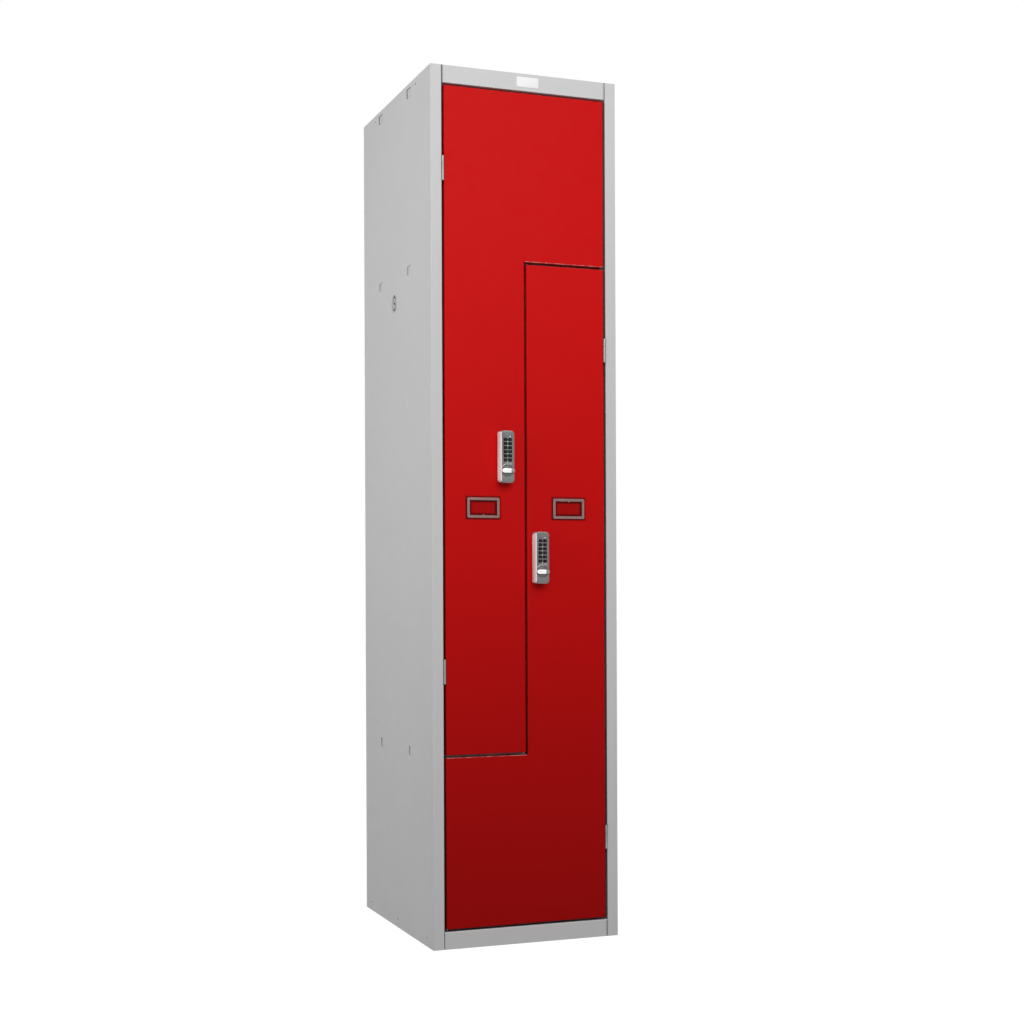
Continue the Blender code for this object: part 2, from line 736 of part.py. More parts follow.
def hinge_pin(name, height, move):
    data = bmesh.new()
    half = HINGE_LEN / 2
    rings = []
    for radius, z in (
        (PIN_R - PIN_TIP, -half), (PIN_R, PIN_TIP - half), (PIN_R, half - PIN_TIP), (PIN_R - PIN_TIP, half),
    ):
        turn = 2 * math.pi / ROUND_STEPS
        rings.append([
            at(-AXIS_X + radius * math.cos(turn * i), AXIS_DEPTH + radius * math.sin(turn * i), height + z)
            for i in range(ROUND_STEPS)
        ])
    add_stack(data, rings)
    bmesh.ops.transform(data, matrix=move, verts=data.verts)
    pin = make_object(name, face_out(data), "zinc_steel", move @ at(-AXIS_X, AXIS_DEPTH, height))
    shade(pin)


def door_outline():
    """The left door from the front: full width above the upper step, half width down to the lower one."""
    half_gap = DOOR_GAP / 2
    hinge_x, free_x, leg_x = -DOOR_HALF_W, DOOR_HALF_W, -half_gap
    low, step, top = LOWER_STEP + half_gap, UPPER_STEP + half_gap, HEIGHT - RAIL_H - DOOR_GAP
    return [(hinge_x, low), (leg_x, low), (leg_x, step), (free_x, step), (free_x, top), (hinge_x, top)]


def door_panel(name, move, lock):
    """L-shaped pan: front sheet, returns all round with rolled front edges, and inward lips behind."""
    outline = door_outline()
    stations = []
    for i in range(BEND_STEPS + 1):
        angle = math.pi / 2 * i / BEND_STEPS
        stations.append((DOOR_BEND_R * (1 - math.sin(angle)), DOOR_BEND_R * (1 - math.cos(angle))))
    stations += [
        (0, DOOR_T), (DOOR_LIP, DOOR_T), (DOOR_LIP, DOOR_T - DOOR_SHEET),
        (DOOR_SHEET, DOOR_T - DOOR_SHEET), (DOOR_SHEET, DOOR_SHEET),
    ]
    data = bmesh.new()
    rings = [[at(x, depth, z) for x, z in inset_outline(outline, inset)] for inset, depth in stations]
    add_stack(data, rings)
    bmesh.ops.transform(data, matrix=move, verts=data.verts)
    panel = make_object(name, face_out(data), "door_red", move @ at(-AXIS_X, AXIS_DEPTH, MID_Z))
    notches = bmesh.new()
    half = HINGE_LEN / 2 + NOTCH_GAP
    for z in HINGES_LEFT:
        add_box(
            notches,
            (-AXIS_X - KNUCKLE_R, -OVERRUN, z - half),
            (-AXIS_X + KNUCKLE_REACH, AXIS_DEPTH + KNUCKLE_REACH, z + half),
        )
    bmesh.ops.transform(notches, matrix=move, verts=notches.verts)
    cut(panel, face_out(notches), "notches")
    hole = bmesh.new()
    add_stack(hole, [disc_ring(lock["spindle"], DOOR_HOLE_R, depth) for depth in (-OVERRUN, OVERRUN)])
    cut(panel, face_out(hole), "spindle_hole")
    return panel


def door_stiffener(name, move, parent):
    """Hat channel spot-welded to the inside of the door, beside the hinges."""
    middle_x = STIFFENER_IN - DOOR_HALF_W
    crown = STIFFENER_CROWN / 2
    edge = crown + STIFFENER_FLANGE
    near = DOOR_SHEET + LAP
    far = near + STIFFENER_DEPTH
    inset = DOOR_LIP + STIFFENER_END_GAP
    low = LOWER_STEP + DOOR_GAP / 2 + inset
    top = HEIGHT - RAIL_H - DOOR_GAP - inset
    faces = [
        wall_d(far, middle_x - crown, middle_x + crown, low, top),
        wall_x(middle_x - crown, near, far, low, top),
        wall_x(middle_x + crown, near, far, low, top),
        wall_d(near, middle_x - edge, middle_x - crown, low, top),
        wall_d(near, middle_x + crown, middle_x + edge, low, top),
    ]
    origin = move @ at(middle_x, near, (low + top) / 2)
    return sheet(name, faces, (0, 1, 0), "door_red", move=move, origin=origin, parent=parent)


def label_holder(name, move, parent):
    """Pressed frame for a name card, open behind at one end, with a small tooth that keeps the card in."""
    centre = (LABEL_IN - DOOR_HALF_W, MID_Z)
    back, front = -SEAT_GAP, -SEAT_GAP - LABEL_T
    data = bmesh.new()
    add_stack(data, pad_rings(centre, LABEL_W, LABEL_H, LABEL_CORNER_R, LABEL_EDGE_R, front, back))
    bmesh.ops.transform(data, matrix=move, verts=data.verts)
    holder = make_object(name, face_out(data), "label_steel", move @ seat(centre, back), parent)
    half_w, half_h = LABEL_W / 2 - LABEL_BAR, LABEL_H / 2 - LABEL_BAR
    outline = [(-half_w, -half_h)]
    for i in range(CORNER_STEPS * 2, -1, -1):
        angle = math.pi * i / (CORNER_STEPS * 2)
        outline.append((LABEL_TOOTH_R * math.cos(angle), LABEL_TOOTH_R * math.sin(angle) - half_h))
    outline += [(half_w, -half_h), (half_w, half_h), (-half_w, half_h)]
    window = bmesh.new()
    depths = (front - OVERRUN, back + OVERRUN)
    add_stack(window, [[at(centre[0] + u, d, centre[1] + v) for u, v in outline] for d in depths])
    bmesh.ops.transform(window, matrix=move, verts=window.verts)
    cut(holder, face_out(window), "window")
    slot = bmesh.new()
    add_box(
        slot,
        (centre[0] - half_w - CARD_SLOT_IN, back - CARD_SLOT_T, centre[1] - half_h - CARD_SLOT_IN),
        (centre[0] + LABEL_W, back + OVERRUN, centre[1] + half_h + CARD_SLOT_IN),
    )
    bmesh.ops.transform(slot, matrix=move, verts=slot.verts)
    cut(holder, face_out(slot), "card_slot")
    return holder


def seat(centre, depth):
    """The point at one depth behind a place given as (x, z)."""
    return at(centre[0], depth, centre[1])


def lock_places():
    """Middle and spindle of each lock, the way its cam swings and how far it reaches."""
    places = {}
    for side, sign, inset in (("left", -1, LOCK_IN_LEFT), ("right", 1, LOCK_IN_RIGHT)):
        centre = (sign * inset, MID_Z + LOCK_LIFT - sign * LOCK_RISE)
        places[side] = {
            "centre": centre,
            "spindle": (centre[0], centre[1] - HOUSING_H / 2 + KNOB_RISE),
            "reach": inset - POST_W / 2 + CAM_HOOK,
        }
    return places


def key_places(centre):
    """Middle of each key, in rows from the top."""
    first_z = centre[1] + HOUSING_H / 2 - KEY_TOP_DROP
    first_x = centre[0] - KEY_PITCH_X * (KEY_COLUMNS - 1) / 2
    return [
        (first_x + column * KEY_PITCH_X, first_z - row * KEY_PITCH_Z)
        for row in range(KEY_ROWS)
        for column in range(KEY_COLUMNS)
    ]


def lock_housing(name, lock, parent):
    """Cast housing with rolled edges, a well for each key, a dish for the thumb turn and its bore."""
    data = bmesh.new()
    add_stack(
        data,
        pad_rings(
            lock["centre"], HOUSING_W, HOUSING_H, HOUSING_CORNER_R, HOUSING_EDGE_R, FACE_D, -SEAT_GAP,
            ROUND_STEPS // 4, CORNER_STEPS,
        ),
    )
    housing = make_object(name, face_out(data), "lock_silver", seat(lock["centre"], -SEAT_GAP), parent)
    wells = bmesh.new()
    well_w, well_h = KEY_W + 2 * WELL_GAP, KEY_H + 2 * WELL_GAP
    outline = rounded_outline(well_w, well_h, KEY_CORNER_R + WELL_GAP, EDGE_STEPS)
    depths = (FACE_D - OVERRUN, FACE_D + WELL_DEPTH)
    for centre in key_places(lock["centre"]):
        add_stack(wells, [[at(centre[0] + u, d, centre[1] + v) for u, v in outline] for d in depths])
    cut(housing, face_out(wells), "wells")
    dish = bmesh.new()
    dish_r = KNOB_R + DISH_GAP
    rings = [
        disc_ring(lock["spindle"], dish_r, FACE_D - OVERRUN, FINE_STEPS),
        disc_ring(lock["spindle"], dish_r, FACE_D + DISH_T, FINE_STEPS),
        disc_ring(lock["spindle"], SPINDLE_BORE_R, FACE_D + DISH_T, FINE_STEPS),
        disc_ring(lock["spindle"], SPINDLE_BORE_R, OVERRUN, FINE_STEPS),
    ]
    add_stack(dish, rings)
    cut(housing, face_out(dish), "dish")
    shade(housing)
    return housing


def keypad_key(name, centre, parent):
    front = FACE_D - KEY_PROUD
    back = FACE_D + WELL_DEPTH - KEY_TRAVEL - SEAT_GAP
    data = bmesh.new()
    add_stack(data, pad_rings(centre, KEY_W, KEY_H, KEY_CORNER_R, KEY_EDGE_R, front, back, EDGE_STEPS, 1))
    key = make_object(name, face_out(data), "key_black", seat(centre, FACE_D), parent)
    shade(key)
    return key


def lock_knob(name, lock, parent):
    """Thumb turn: a round base in the dish, a grip across it and the spindle through the door."""
    base = FACE_D + DISH_T - SEAT_GAP
    face = base - KNOB_T
    centre = lock["spindle"]
    data = bmesh.new()
    profile = [
        (KNOB_R - GRIP_EDGE_R, face), (KNOB_R, face + GRIP_EDGE_R), (KNOB_R, base),
        (SPINDLE_R, base), (SPINDLE_R, SPINDLE_END_D),
    ]
    add_stack(data, [disc_ring(centre, radius, depth, FINE_STEPS) for radius, depth in profile])
    knob = make_object(name, face_out(data), "knob_chrome", seat(centre, FACE_D), parent)
    grip = bmesh.new()
    front = FACE_D - KNOB_T - GRIP_T
    rings = pad_rings(centre, GRIP_LEN, GRIP_H, GRIP_CORNER_R, GRIP_EDGE_R, front, face + SEAT_GAP)
    add_stack(grip, rings)
    weld_on(knob, face_out(grip), "grip")
    shade(knob)
    return knob


def lock_cam(name, lock, parent):
    """Flat cam on the spindle's end, hanging down while the lock is open."""
    x, z = lock["spindle"]
    radius = CAM_W / 2
    drop = lock["reach"] - radius
    outline = []
    half_steps = ROUND_STEPS // 2
    for i in range(half_steps + 1):
        angle = math.pi * i / half_steps
        outline.append((x + radius * math.cos(angle), z + radius * math.sin(angle)))
    for i in range(half_steps + 1):
        angle = math.pi * (1 + i / half_steps)
        outline.append((x + radius * math.cos(angle), z - drop + radius * math.sin(angle)))
    data = bmesh.new()
    add_stack(data, [[at(u, d, v) for u, v in outline] for d in (CAM_D, CAM_D + CAM_T)])
    cam = make_object(name, face_out(data), "zinc_steel", at(x, CAM_D, z), parent)
    bore = bmesh.new()
    depths = (CAM_D - OVERRUN, CAM_D + CAM_T + OVERRUN)
    add_stack(bore, [disc_ring((x, z), SPINDLE_BORE_R, depth, FINE_STEPS) for depth in depths])
    cut(cam, face_out(bore), "bore")
    shade(cam)
    return cam


def lock_back_plate(name, lock, parent):
    """Plate inside the door that clamps the lock, with a long hub round the spindle."""
    x, z = lock["spindle"]
    near = DOOR_SHEET + SEAT_GAP
    data = bmesh.new()
    outline = rounded_outline(PLATE_W, PLATE_H, PLATE_CORNER_R)
    add_stack(data, [[at(x + u, d, z + v) for u, v in outline] for d in (near, near + PLATE_T)])
    plate = make_object(name, face_out(data), "zinc_steel", at(x, near, z), parent)
    hub = bmesh.new()
    depths = (near + PLATE_T / 2, CAM_D - HUB_END_GAP)
    add_stack(hub, [disc_ring((x, z), HUB_R, depth) for depth in depths])
    weld_on(plate, face_out(hub), "hub")
    bore = bmesh.new()
    depths = (near - OVERRUN, CAM_D + OVERRUN)
    add_stack(bore, [disc_ring((x, z), SPINDLE_BORE_R, depth, FINE_STEPS) for depth in depths])
    cut(plate, face_out(bore), "bore")
    shade(plate)
    return plate


def build_carcass():
    side_panel("side_panel_left", UNMOVED)
    side_panel("side_panel_right", MIRROR_X)
    back_panel()
    top_panel()
    base_panel()
    shelf("upper_shelf", UPPER_STEP)
    shelf("lower_shelf", LOWER_STEP)
    centre_divider()
    coat_hook("coat_hook_left", UNMOVED)
    coat_hook("coat_hook_right", MIRROR_X)


def build_door(side, move):
    """One door with its hinges, stiffener, label holder and lock."""
    lock = lock_places()[side]
    door = door_panel(f"door_panel_{side}", move, lock)
    door_stiffener(f"door_stiffener_{side}", move, door)
    label_holder(f"label_holder_{side}", move, door)
    for level, height in zip(HINGE_LEVELS[side], HINGES_LEFT):
        tag = f"{side}_{level}"
        hinge_leaf(f"hinge_leaf_frame_{tag}", -1, height, move, 0)
        hinge_leaf(f"hinge_leaf_door_{tag}", 1, height, move, 1, door)
        hinge_pin(f"hinge_pin_{tag}", height, move)
    housing = lock_housing(f"lock_housing_{side}", lock, door)
    lock_back_plate(f"lock_back_plate_{side}", lock, door)
    for number, centre in enumerate(key_places(lock["centre"]), start=1):
        keypad_key(f"key_{side}_{number:02d}", centre, housing)
    knob = lock_knob(f"lock_knob_{side}", lock, housing)
    lock_cam(f"lock_cam_{side}", lock, knob)


def main():
    clear_scene()
    build_carcass()
    build_door("left", UNMOVED)
    build_door("right", HALF_TURN)
    bpy.context.view_layer.update()


main()
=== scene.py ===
import json
import math

import bmesh
import bpy
import numpy as np
from bpy.props import FloatProperty, FloatVectorProperty, PointerProperty
from bpy.types import Operator, Panel, PropertyGroup
from mathutils import Matrix, Vector


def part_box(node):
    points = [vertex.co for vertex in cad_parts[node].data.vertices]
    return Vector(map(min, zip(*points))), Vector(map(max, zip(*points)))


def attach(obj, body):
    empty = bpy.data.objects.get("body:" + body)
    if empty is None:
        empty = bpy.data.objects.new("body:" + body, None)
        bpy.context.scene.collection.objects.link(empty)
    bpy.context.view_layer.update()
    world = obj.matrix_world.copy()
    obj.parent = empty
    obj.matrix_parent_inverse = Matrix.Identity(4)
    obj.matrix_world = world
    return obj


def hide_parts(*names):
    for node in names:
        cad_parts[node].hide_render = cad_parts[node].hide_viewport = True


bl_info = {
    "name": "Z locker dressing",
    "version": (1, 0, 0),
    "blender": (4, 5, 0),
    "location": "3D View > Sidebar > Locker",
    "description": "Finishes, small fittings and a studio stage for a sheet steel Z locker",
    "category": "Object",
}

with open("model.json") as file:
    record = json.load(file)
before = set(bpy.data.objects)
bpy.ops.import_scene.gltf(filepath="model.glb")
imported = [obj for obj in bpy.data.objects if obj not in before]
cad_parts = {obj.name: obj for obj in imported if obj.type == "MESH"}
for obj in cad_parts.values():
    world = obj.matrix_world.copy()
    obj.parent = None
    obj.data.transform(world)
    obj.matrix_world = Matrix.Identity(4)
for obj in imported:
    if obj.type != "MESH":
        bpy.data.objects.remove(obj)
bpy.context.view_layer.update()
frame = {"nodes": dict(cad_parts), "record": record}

SIDES = ("left", "right")
LEVELS = ("upper", "lower")
SHARP_ANGLE = math.radians(35)
BEND_ANGLE = math.radians(50)
FINE_ANGLE = math.radians(24)
ROUND = 48
SMALL_ROUND = 24
WELD = 0.000001
POLE_SHARE = 0.02

FRONT_OUT = Vector((0, -1, 0))
BACK_OUT = Vector((0, 1, 0))
LEFT_OUT = Vector((-1, 0, 0))
RIGHT_OUT = Vector((1, 0, 0))
UP = Vector((0, 0, 1))


def joint_place(name):
    """Where a joint's axis passes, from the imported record."""
    for joint in frame["record"]["behaviour"]["joints"]:
        if joint["name"] == name:
            return Vector(joint["pos_m"])
    raise KeyError(name)


def box_centre(low, high):
    return (Vector(low) + Vector(high)) / 2


def front_centre(low, high):
    """Middle of a box's front face."""
    centre = box_centre(low, high)
    return Vector((centre.x, low[1], centre.z))


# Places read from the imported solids
BODY_OF = {
    node: body for body, nodes in frame["record"]["behaviour"]["bodies"].items() for node in nodes}
LEFT_X, FRONT_Y, FLOOR_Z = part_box("side_panel_left")[0]
RIGHT_X, BACK_Y, TOP_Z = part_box("side_panel_right")[1]
DOOR_LOW, DOOR_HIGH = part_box("door_panel_left")
OTHER_LOW, OTHER_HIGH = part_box("door_panel_right")
HINGE_X = abs(joint_place("left_door_swing").x)
DOOR_GAP = 2 * (HINGE_X - DOOR_HIGH[0])
STILE_EDGE_X = HINGE_X + DOOR_GAP / 2
RAIL_LOW_Z = DOOR_HIGH[2] + DOOR_GAP
BASE_TOP_Z = OTHER_LOW[2] - DOOR_GAP
STEP_Z = {"left": OTHER_HIGH[2] + DOOR_GAP, "right": DOOR_LOW[2] - DOOR_GAP}


# Shares of the plain colours, and how glossy the two coats are
BODY_SPECULAR = 0.25
DOOR_SPECULAR = 0.06
EVEN_SHARES = ((0.0, 1.0), (1.0, 1.0))
# Painted shade: how much of each coat's colour shows at shares of the height, darker towards the floor, most
# on the doors
DOOR_SHADE_BY_HEIGHT = ((0.02, 0.53), (0.34, 0.80), (0.68, 1.0), (0.98, 0.98))
BODY_SHADE_BY_HEIGHT = ((0.02, 0.945), (0.34, 1.0), (0.68, 1.0), (0.98, 1.01))
# Painted shade on the returns inside the seams
SEAM_SHADE_SHARE = 0.42
# Place of the painted highlight at each door's step
HIGHLIGHT_IN_SHARES = {"left": 1.0, "right": 0.5}
# Painted shade towards the rails' ends beside the stiles
RAIL_END_SHADE_SHARE = 0.50
# Painted shade on the walls of the label holders
WALL_SHADE_SHARE = 0.15
# Painted highlight on the base rail's upper fold
FOLD_HIGHLIGHT_SHARE = 1.15
FOLD_HIGHLIGHT_HALF = 0.6
# Painted light in the gap under the top rail
GAP_LIGHT_SHARE = 1.45
# Painted shadow round the label holders
LABEL_SHADOW_SHARE = 0.16
# Layers darker than this, such as the painted shadow in the side windows, have no gloss
GLOSSLESS_BELOW = 0.10
# Shares of the painted shadow inside the label holders and beside their bars
SHADOW_INSIDE = 0.35
SHADOW_BESIDE = 0.94

# Noise scales, ranges and heights of the finishes
SHADE_SCALE = 2.2
SHADE_RANGE = (0.985, 1.015)
COAT_GLOSS_SCALE = 38.0
COAT_ROUGHNESS = (0.40, 0.50)
SHEET_WAVE_SCALE = 5.0
SHEET_WAVE_H = 0.0006
PEEL_SCALE = 620.0
# Breaks in the painted highlight along the steps
HIGHLIGHT_BREAK_SCALE = 95.0
HIGHLIGHT_BREAK_RANGE = (0.25, 1.0, 0.42, 0.58)
PLATING_CLOUD_SCALE = 60.0
PLATING_RANGE = (0.88, 1.10)
SPECK_SCALE = 2600.0
SPECK_RANGE = (0.92, 1.08)
CASTING_GLOSS_SCALE = 420.0
CASTING_ROUGHNESS = (0.32, 0.44)
CASTING_METALLIC = 0.45
CASTING_SPECULAR = 0.5
HAZE_SCALE = 140.0
HAZE_RANGE = (0.95, 1.0)
POLISH_SCALE = 900.0
POLISH_H = 0.00001
KNOB_ROUGHNESS = (0.34, 0.16)
MOULDING_GLOSS_SCALE = 90.0
MOULDING_ROUGHNESS = (0.42, 0.55)
MOULDING_GRAIN_SCALE = 1500.0
MOULDING_GRAIN_H = 0.00003
MOULDING_RANGE = (0.93, 1.07)
HOOK_RANGE = (0.94, 1.04)
FINE_GRAIN_H = 0.00002
INK_SCALE = 700.0
INK_ROUGHNESS = (0.45, 0.6)
INK_THIN_SHARE = 0.90
SATIN_SPECULAR = 0.3

# Mouldings: roughness, scale of the grain and specular, after the colour where it is fixed
PLATE_FINISH = ((0.30, 0.40), 900.0, 0.4)
KEY_RUBBER = ((0.006, 0.006, 0.007), MOULDING_ROUGHNESS, MOULDING_GRAIN_SCALE, 0.10)
SEAL_RUBBER = ((0.02, 0.02, 0.02), (0.6, 0.75), 1200.0, 0.2)
LAMP_LENS = ((0.80, 0.82, 0.84), (0.10, 0.18), 400.0, 0.6)

# Plated sheets: colour, roughness, stretch of the rolling lines and metallic
ZINC = ((0.27, 0.27, 0.26), (0.30, 0.42), (1, 1, 0.05), 0.9)
LABEL_STEEL = ((0.26, 0.15, 0.14), (0.42, 0.52), (0.05, 1, 1), 0.35)
RIVET_STEEL = ((0.04, 0.04, 0.04), (0.5, 0.6), (1, 1, 1), 0.1)
ROLLING_SCALE = 900.0

# Inks, and colours of the locks' castings, their plating and the hooks, with painted light and shade on the
# castings' flanks, the grip and the hooks' grooves
MARK_INK = (0.80, 0.80, 0.78)
KEY_INK = (0.11, 0.11, 0.105)
# Painted light on the locks' left flanks and painted shade on the others
FLANK_PAINTED_LIGHT = (1.0, 1.0, 1.0)
FLANK_PAINTED_SHADE = (0.30, 0.22, 0.22)
FACE_SILVER = (0.175, 0.175, 0.175)
KEYPAD_SILVER = (0.30, 0.30, 0.30)
# Painted reflection on the knob's grip: bright on the left, dark on the right
GRIP_PAINTED_HIGHLIGHT = (0.92, 0.92, 0.92)
GRIP_PAINTED_DARK = (0.26, 0.26, 0.26)
DISC_DARK = (0.13, 0.13, 0.13)
HOOK_PALE = (0.50, 0.50, 0.50)
# Painted shade in the hooks' grooves
HOOK_GROOVE_SHADE = (0.08, 0.08, 0.08)

# Counts, and sizes that the boxes don't give: keys and their print, as shares of the print's size
KEYS = 12
DIGIT_KEYS = 10
RING_KEY = 11
RING_END_DEG = 340
RING_SHARE = 0.26
RING_LINE_SHARE = 0.55
BAR_W_SHARE = 0.62
BAR_H_SHARE = 0.16
BAR_CORNER_SHARE = 0.45

# Locks: knob, turn mark, pointer, lamp, seal, nut and screws
KNOB_DISC_T = 0.0014
# Where the grip's painted reflection fades from bright to dark
GRIP_PAINTED_DARK_FROM = 0.0036
GRIP_PAINTED_DARK_TO = 0.0070
ARC_START_DEG = 144
ARC_END_DEG = 109
ARC_WIDTH_SHARES = ((0.0, 1.0), (0.62, 1.0), (0.64, 2.2), (1.0, 0.12))
POINTER_H = 0.0020
POINTER_SHARES = (0.05, 0.5)
LAMP_DOME_SHARE = 0.45
SEAL_CORNER = 0.0054
NUT_SIDES = 6
NUT_RADIUS = 0.0064
NUT_T_SHARE = 0.8
NUT_FACE_SHARE = 0.9
NUT_CHAMFER_SHARE = 0.12
SCREW_RADIUS = 0.0026
SCREW_HEIGHT = 0.0015
SCREW_OFFSET = 0.018
BACK_PLATE_DEPTH = 0.0029

# Label holders: bars, the painted shade on their walls and the painted shadow beside them
LABEL_BAR = 0.0055
WALL_FROM = 0.0003
WALL_TO = 0.0009
SHADOW_REACH = 0.0056
SHADOW_INNER_FULL = 0.0026
SHADOW_INNER_END = 0.0066

# Body: rivets as shares of the depth, sheet, seams, side windows and the hooks' grooves
TOP_RIVET_SHARES = (0.2, 0.8)
LOW_RIVET_SHARES = (0.09, 0.5, 0.92)
SHEET = 0.0009
CUT_EDGE_IN = 0.00005
SEAM_DEPTH = 0.020
WINDOW_MARGIN = 0.040
WINDOW_W = 0.026
WINDOW_H = 0.0185
WINDOW_FRONT = 0.148
WINDOW_REAR = 0.359
TOP_WINDOW_DROP = 0.019
# Width of the painted shadow round the two windows near the top
SHADOW_RIM_WIDTH = 0.0004
GROOVE_FROM = 0.0004
GROOVE_TO = 0.0014
GROOVE_END = 0.0030
GROOVE_REACH = 0.0175

# Stage: each lamp's place, aim and size, the floor's greys and the camera's sensor
KEY_LAMP = ((0.0, FRONT_Y - 2.5, 2.6), (0.0, FRONT_Y, 1.2), (2.6, 2.0))
SIDE_LAMP = ((LEFT_X - 1.6, FRONT_Y - 0.1, 1.5), (LEFT_X, BACK_Y, 1.45), (1.0, 1.0))
FLOOR_GREY = 0.45
FLOOR_PALE = 0.9
SENSOR_MM = 36.0


# Sizes and colours that a user would change

class LockerPaint(PropertyGroup):
    body_colour: FloatVectorProperty(
        name="Body colour", description="Light grey powder coat of the body",
        subtype="COLOR", size=3, min=0, max=1, default=(0.66, 0.66, 0.66))
    door_colour: FloatVectorProperty(
        name="Door colour", description="Red powder coat of the doors",
        subtype="COLOR", size=3, min=0, max=1, default=(0.67, 0.0044, 0.0046))
    # Painted highlight on the bend at a door's step
    step_highlight_colour: FloatVectorProperty(
        name="Thin edge colour", description="Where the red coat is thin on the bend at a step",
        subtype="COLOR", size=3, min=0, max=1, default=(0.62, 0.30, 0.29))
    # Painted shadow on the cut edges of the windows near the top
    window_shadow_colour: FloatVectorProperty(
        name="Cut edge colour", description="Bare cut edges of the windows near the top",
        subtype="COLOR", size=3, min=0, max=1, default=(0.005, 0.005, 0.005))
    # Lighter painted shadow on the cut edges of the windows at the shelves
    shelf_window_shadow_colour: FloatVectorProperty(
        name="Shelf cut edge colour", description="Thinly coated cut edges of the windows at the shelves",
        subtype="COLOR", size=3, min=0, max=1, default=(0.20, 0.20, 0.20))
    peel: FloatProperty(
        name="Orange peel", description="Height of the fine waves in the powder coat",
        unit="LENGTH", default=0.00006, min=0, precision=6)
    bend: FloatProperty(
        name="Bend radius", description="Outer radius of the body's folds",
        unit="LENGTH", default=0.0016, min=0, precision=5)
    # Place and half width of the painted highlight at a door's step
    highlight_in: FloatProperty(
        name="Thin edge place", description="Middle of the thin line, in from a step's edge",
        unit="LENGTH", default=0.0013, min=0, precision=5)
    highlight_half: FloatProperty(
        name="Thin edge half width", description="Half the width of the thin line at a step",
        unit="LENGTH", default=0.0006, min=0, precision=5)
    seam: FloatProperty(
        name="Rail seam", description="Gap between a rail's end and its stile",
        unit="LENGTH", default=0.0011, min=0, precision=5)
    # How far the painted shade at a rail's end reaches
    end_shade_reach: FloatProperty(
        name="Rail end fade", description="How far the thinner coat at a rail's end reaches",
        unit="LENGTH", default=0.0045, min=0, precision=5)
    return_depth: FloatProperty(
        name="Return depth", description="Depth behind the front at which a fold's return is fully shaded",
        unit="LENGTH", default=0.0025, min=0, precision=5)


class LockerPlate(PropertyGroup):
    width: FloatProperty(
        name="Width", description="Width of the bare plate", unit="LENGTH", default=0.0482, precision=4)
    height: FloatProperty(
        name="Height", description="Height of the bare plate", unit="LENGTH", default=0.0210, precision=4)
    thickness: FloatProperty(
        name="Thickness", description="How far the plate stands out",
        unit="LENGTH", default=0.0009, precision=5)
    corner: FloatProperty(
        name="Corner", description="Corner radius", unit="LENGTH", default=0.0018, precision=5)
    offset: FloatProperty(
        name="Offset", description="Right of the body's middle", unit="LENGTH", default=0.0067, precision=5)
    rise: FloatProperty(
        name="Rise", description="Plate's middle above the top rail's lower edge",
        unit="LENGTH", default=0.0182, precision=4)
    colour: FloatVectorProperty(
        name="Colour", description="Off-white print",
        subtype="COLOR", size=3, min=0, max=1, default=(0.97, 0.97, 0.97))


class LockerRivets(PropertyGroup):
    radius: FloatProperty(
        name="Radius", description="Head radius", unit="LENGTH", default=0.0021, precision=5)
    height: FloatProperty(
        name="Height", description="How far the flush heads stand out",
        unit="LENGTH", default=0.00003, precision=6)
    top_drop: FloatProperty(
        name="Top row", description="Below the top", unit="LENGTH", default=0.0140, precision=4)
    low_rise: FloatProperty(
        name="Bottom row", description="Above the floor", unit="LENGTH", default=0.0185, precision=4)


class LockerLockTrim(PropertyGroup):
    rim: FloatProperty(
        name="Rim", description="Plain rim round the housing's face",
        unit="LENGTH", default=0.0018, precision=5)
    lamp_radius: FloatProperty(
        name="Lamp radius", description="Lens radius", unit="LENGTH", default=0.0014, precision=5)
    lamp_drop: FloatProperty(
        name="Lamp drop", description="Below the housing's top", unit="LENGTH", default=0.0130, precision=4)
    lamp_offset: FloatProperty(
        name="Lamp offset", description="Right of the middle", unit="LENGTH", default=0.0049, precision=5)
    digit_height: FloatProperty(
        name="Digit size", description="Size of the key numbers", unit="LENGTH", default=0.0040, precision=5)
    print_height: FloatProperty(
        name="Print height", description="How far print stands off",
        unit="LENGTH", default=0.00005, precision=6)
    arc_radius: FloatProperty(
        name="Arc radius", description="Radius of the turn mark beside the knob",
        unit="LENGTH", default=0.0146, precision=5)
    arc_width: FloatProperty(
        name="Arc width", description="Width of the turn mark", unit="LENGTH", default=0.0012, precision=5)
    pointer_width: FloatProperty(
        name="Pointer", description="Width of the pointer above the knob",
        unit="LENGTH", default=0.0030, precision=5)
    seal_inset: FloatProperty(
        name="Seal inset", description="Seal inside the housing's outline",
        unit="LENGTH", default=0.0004, precision=5)


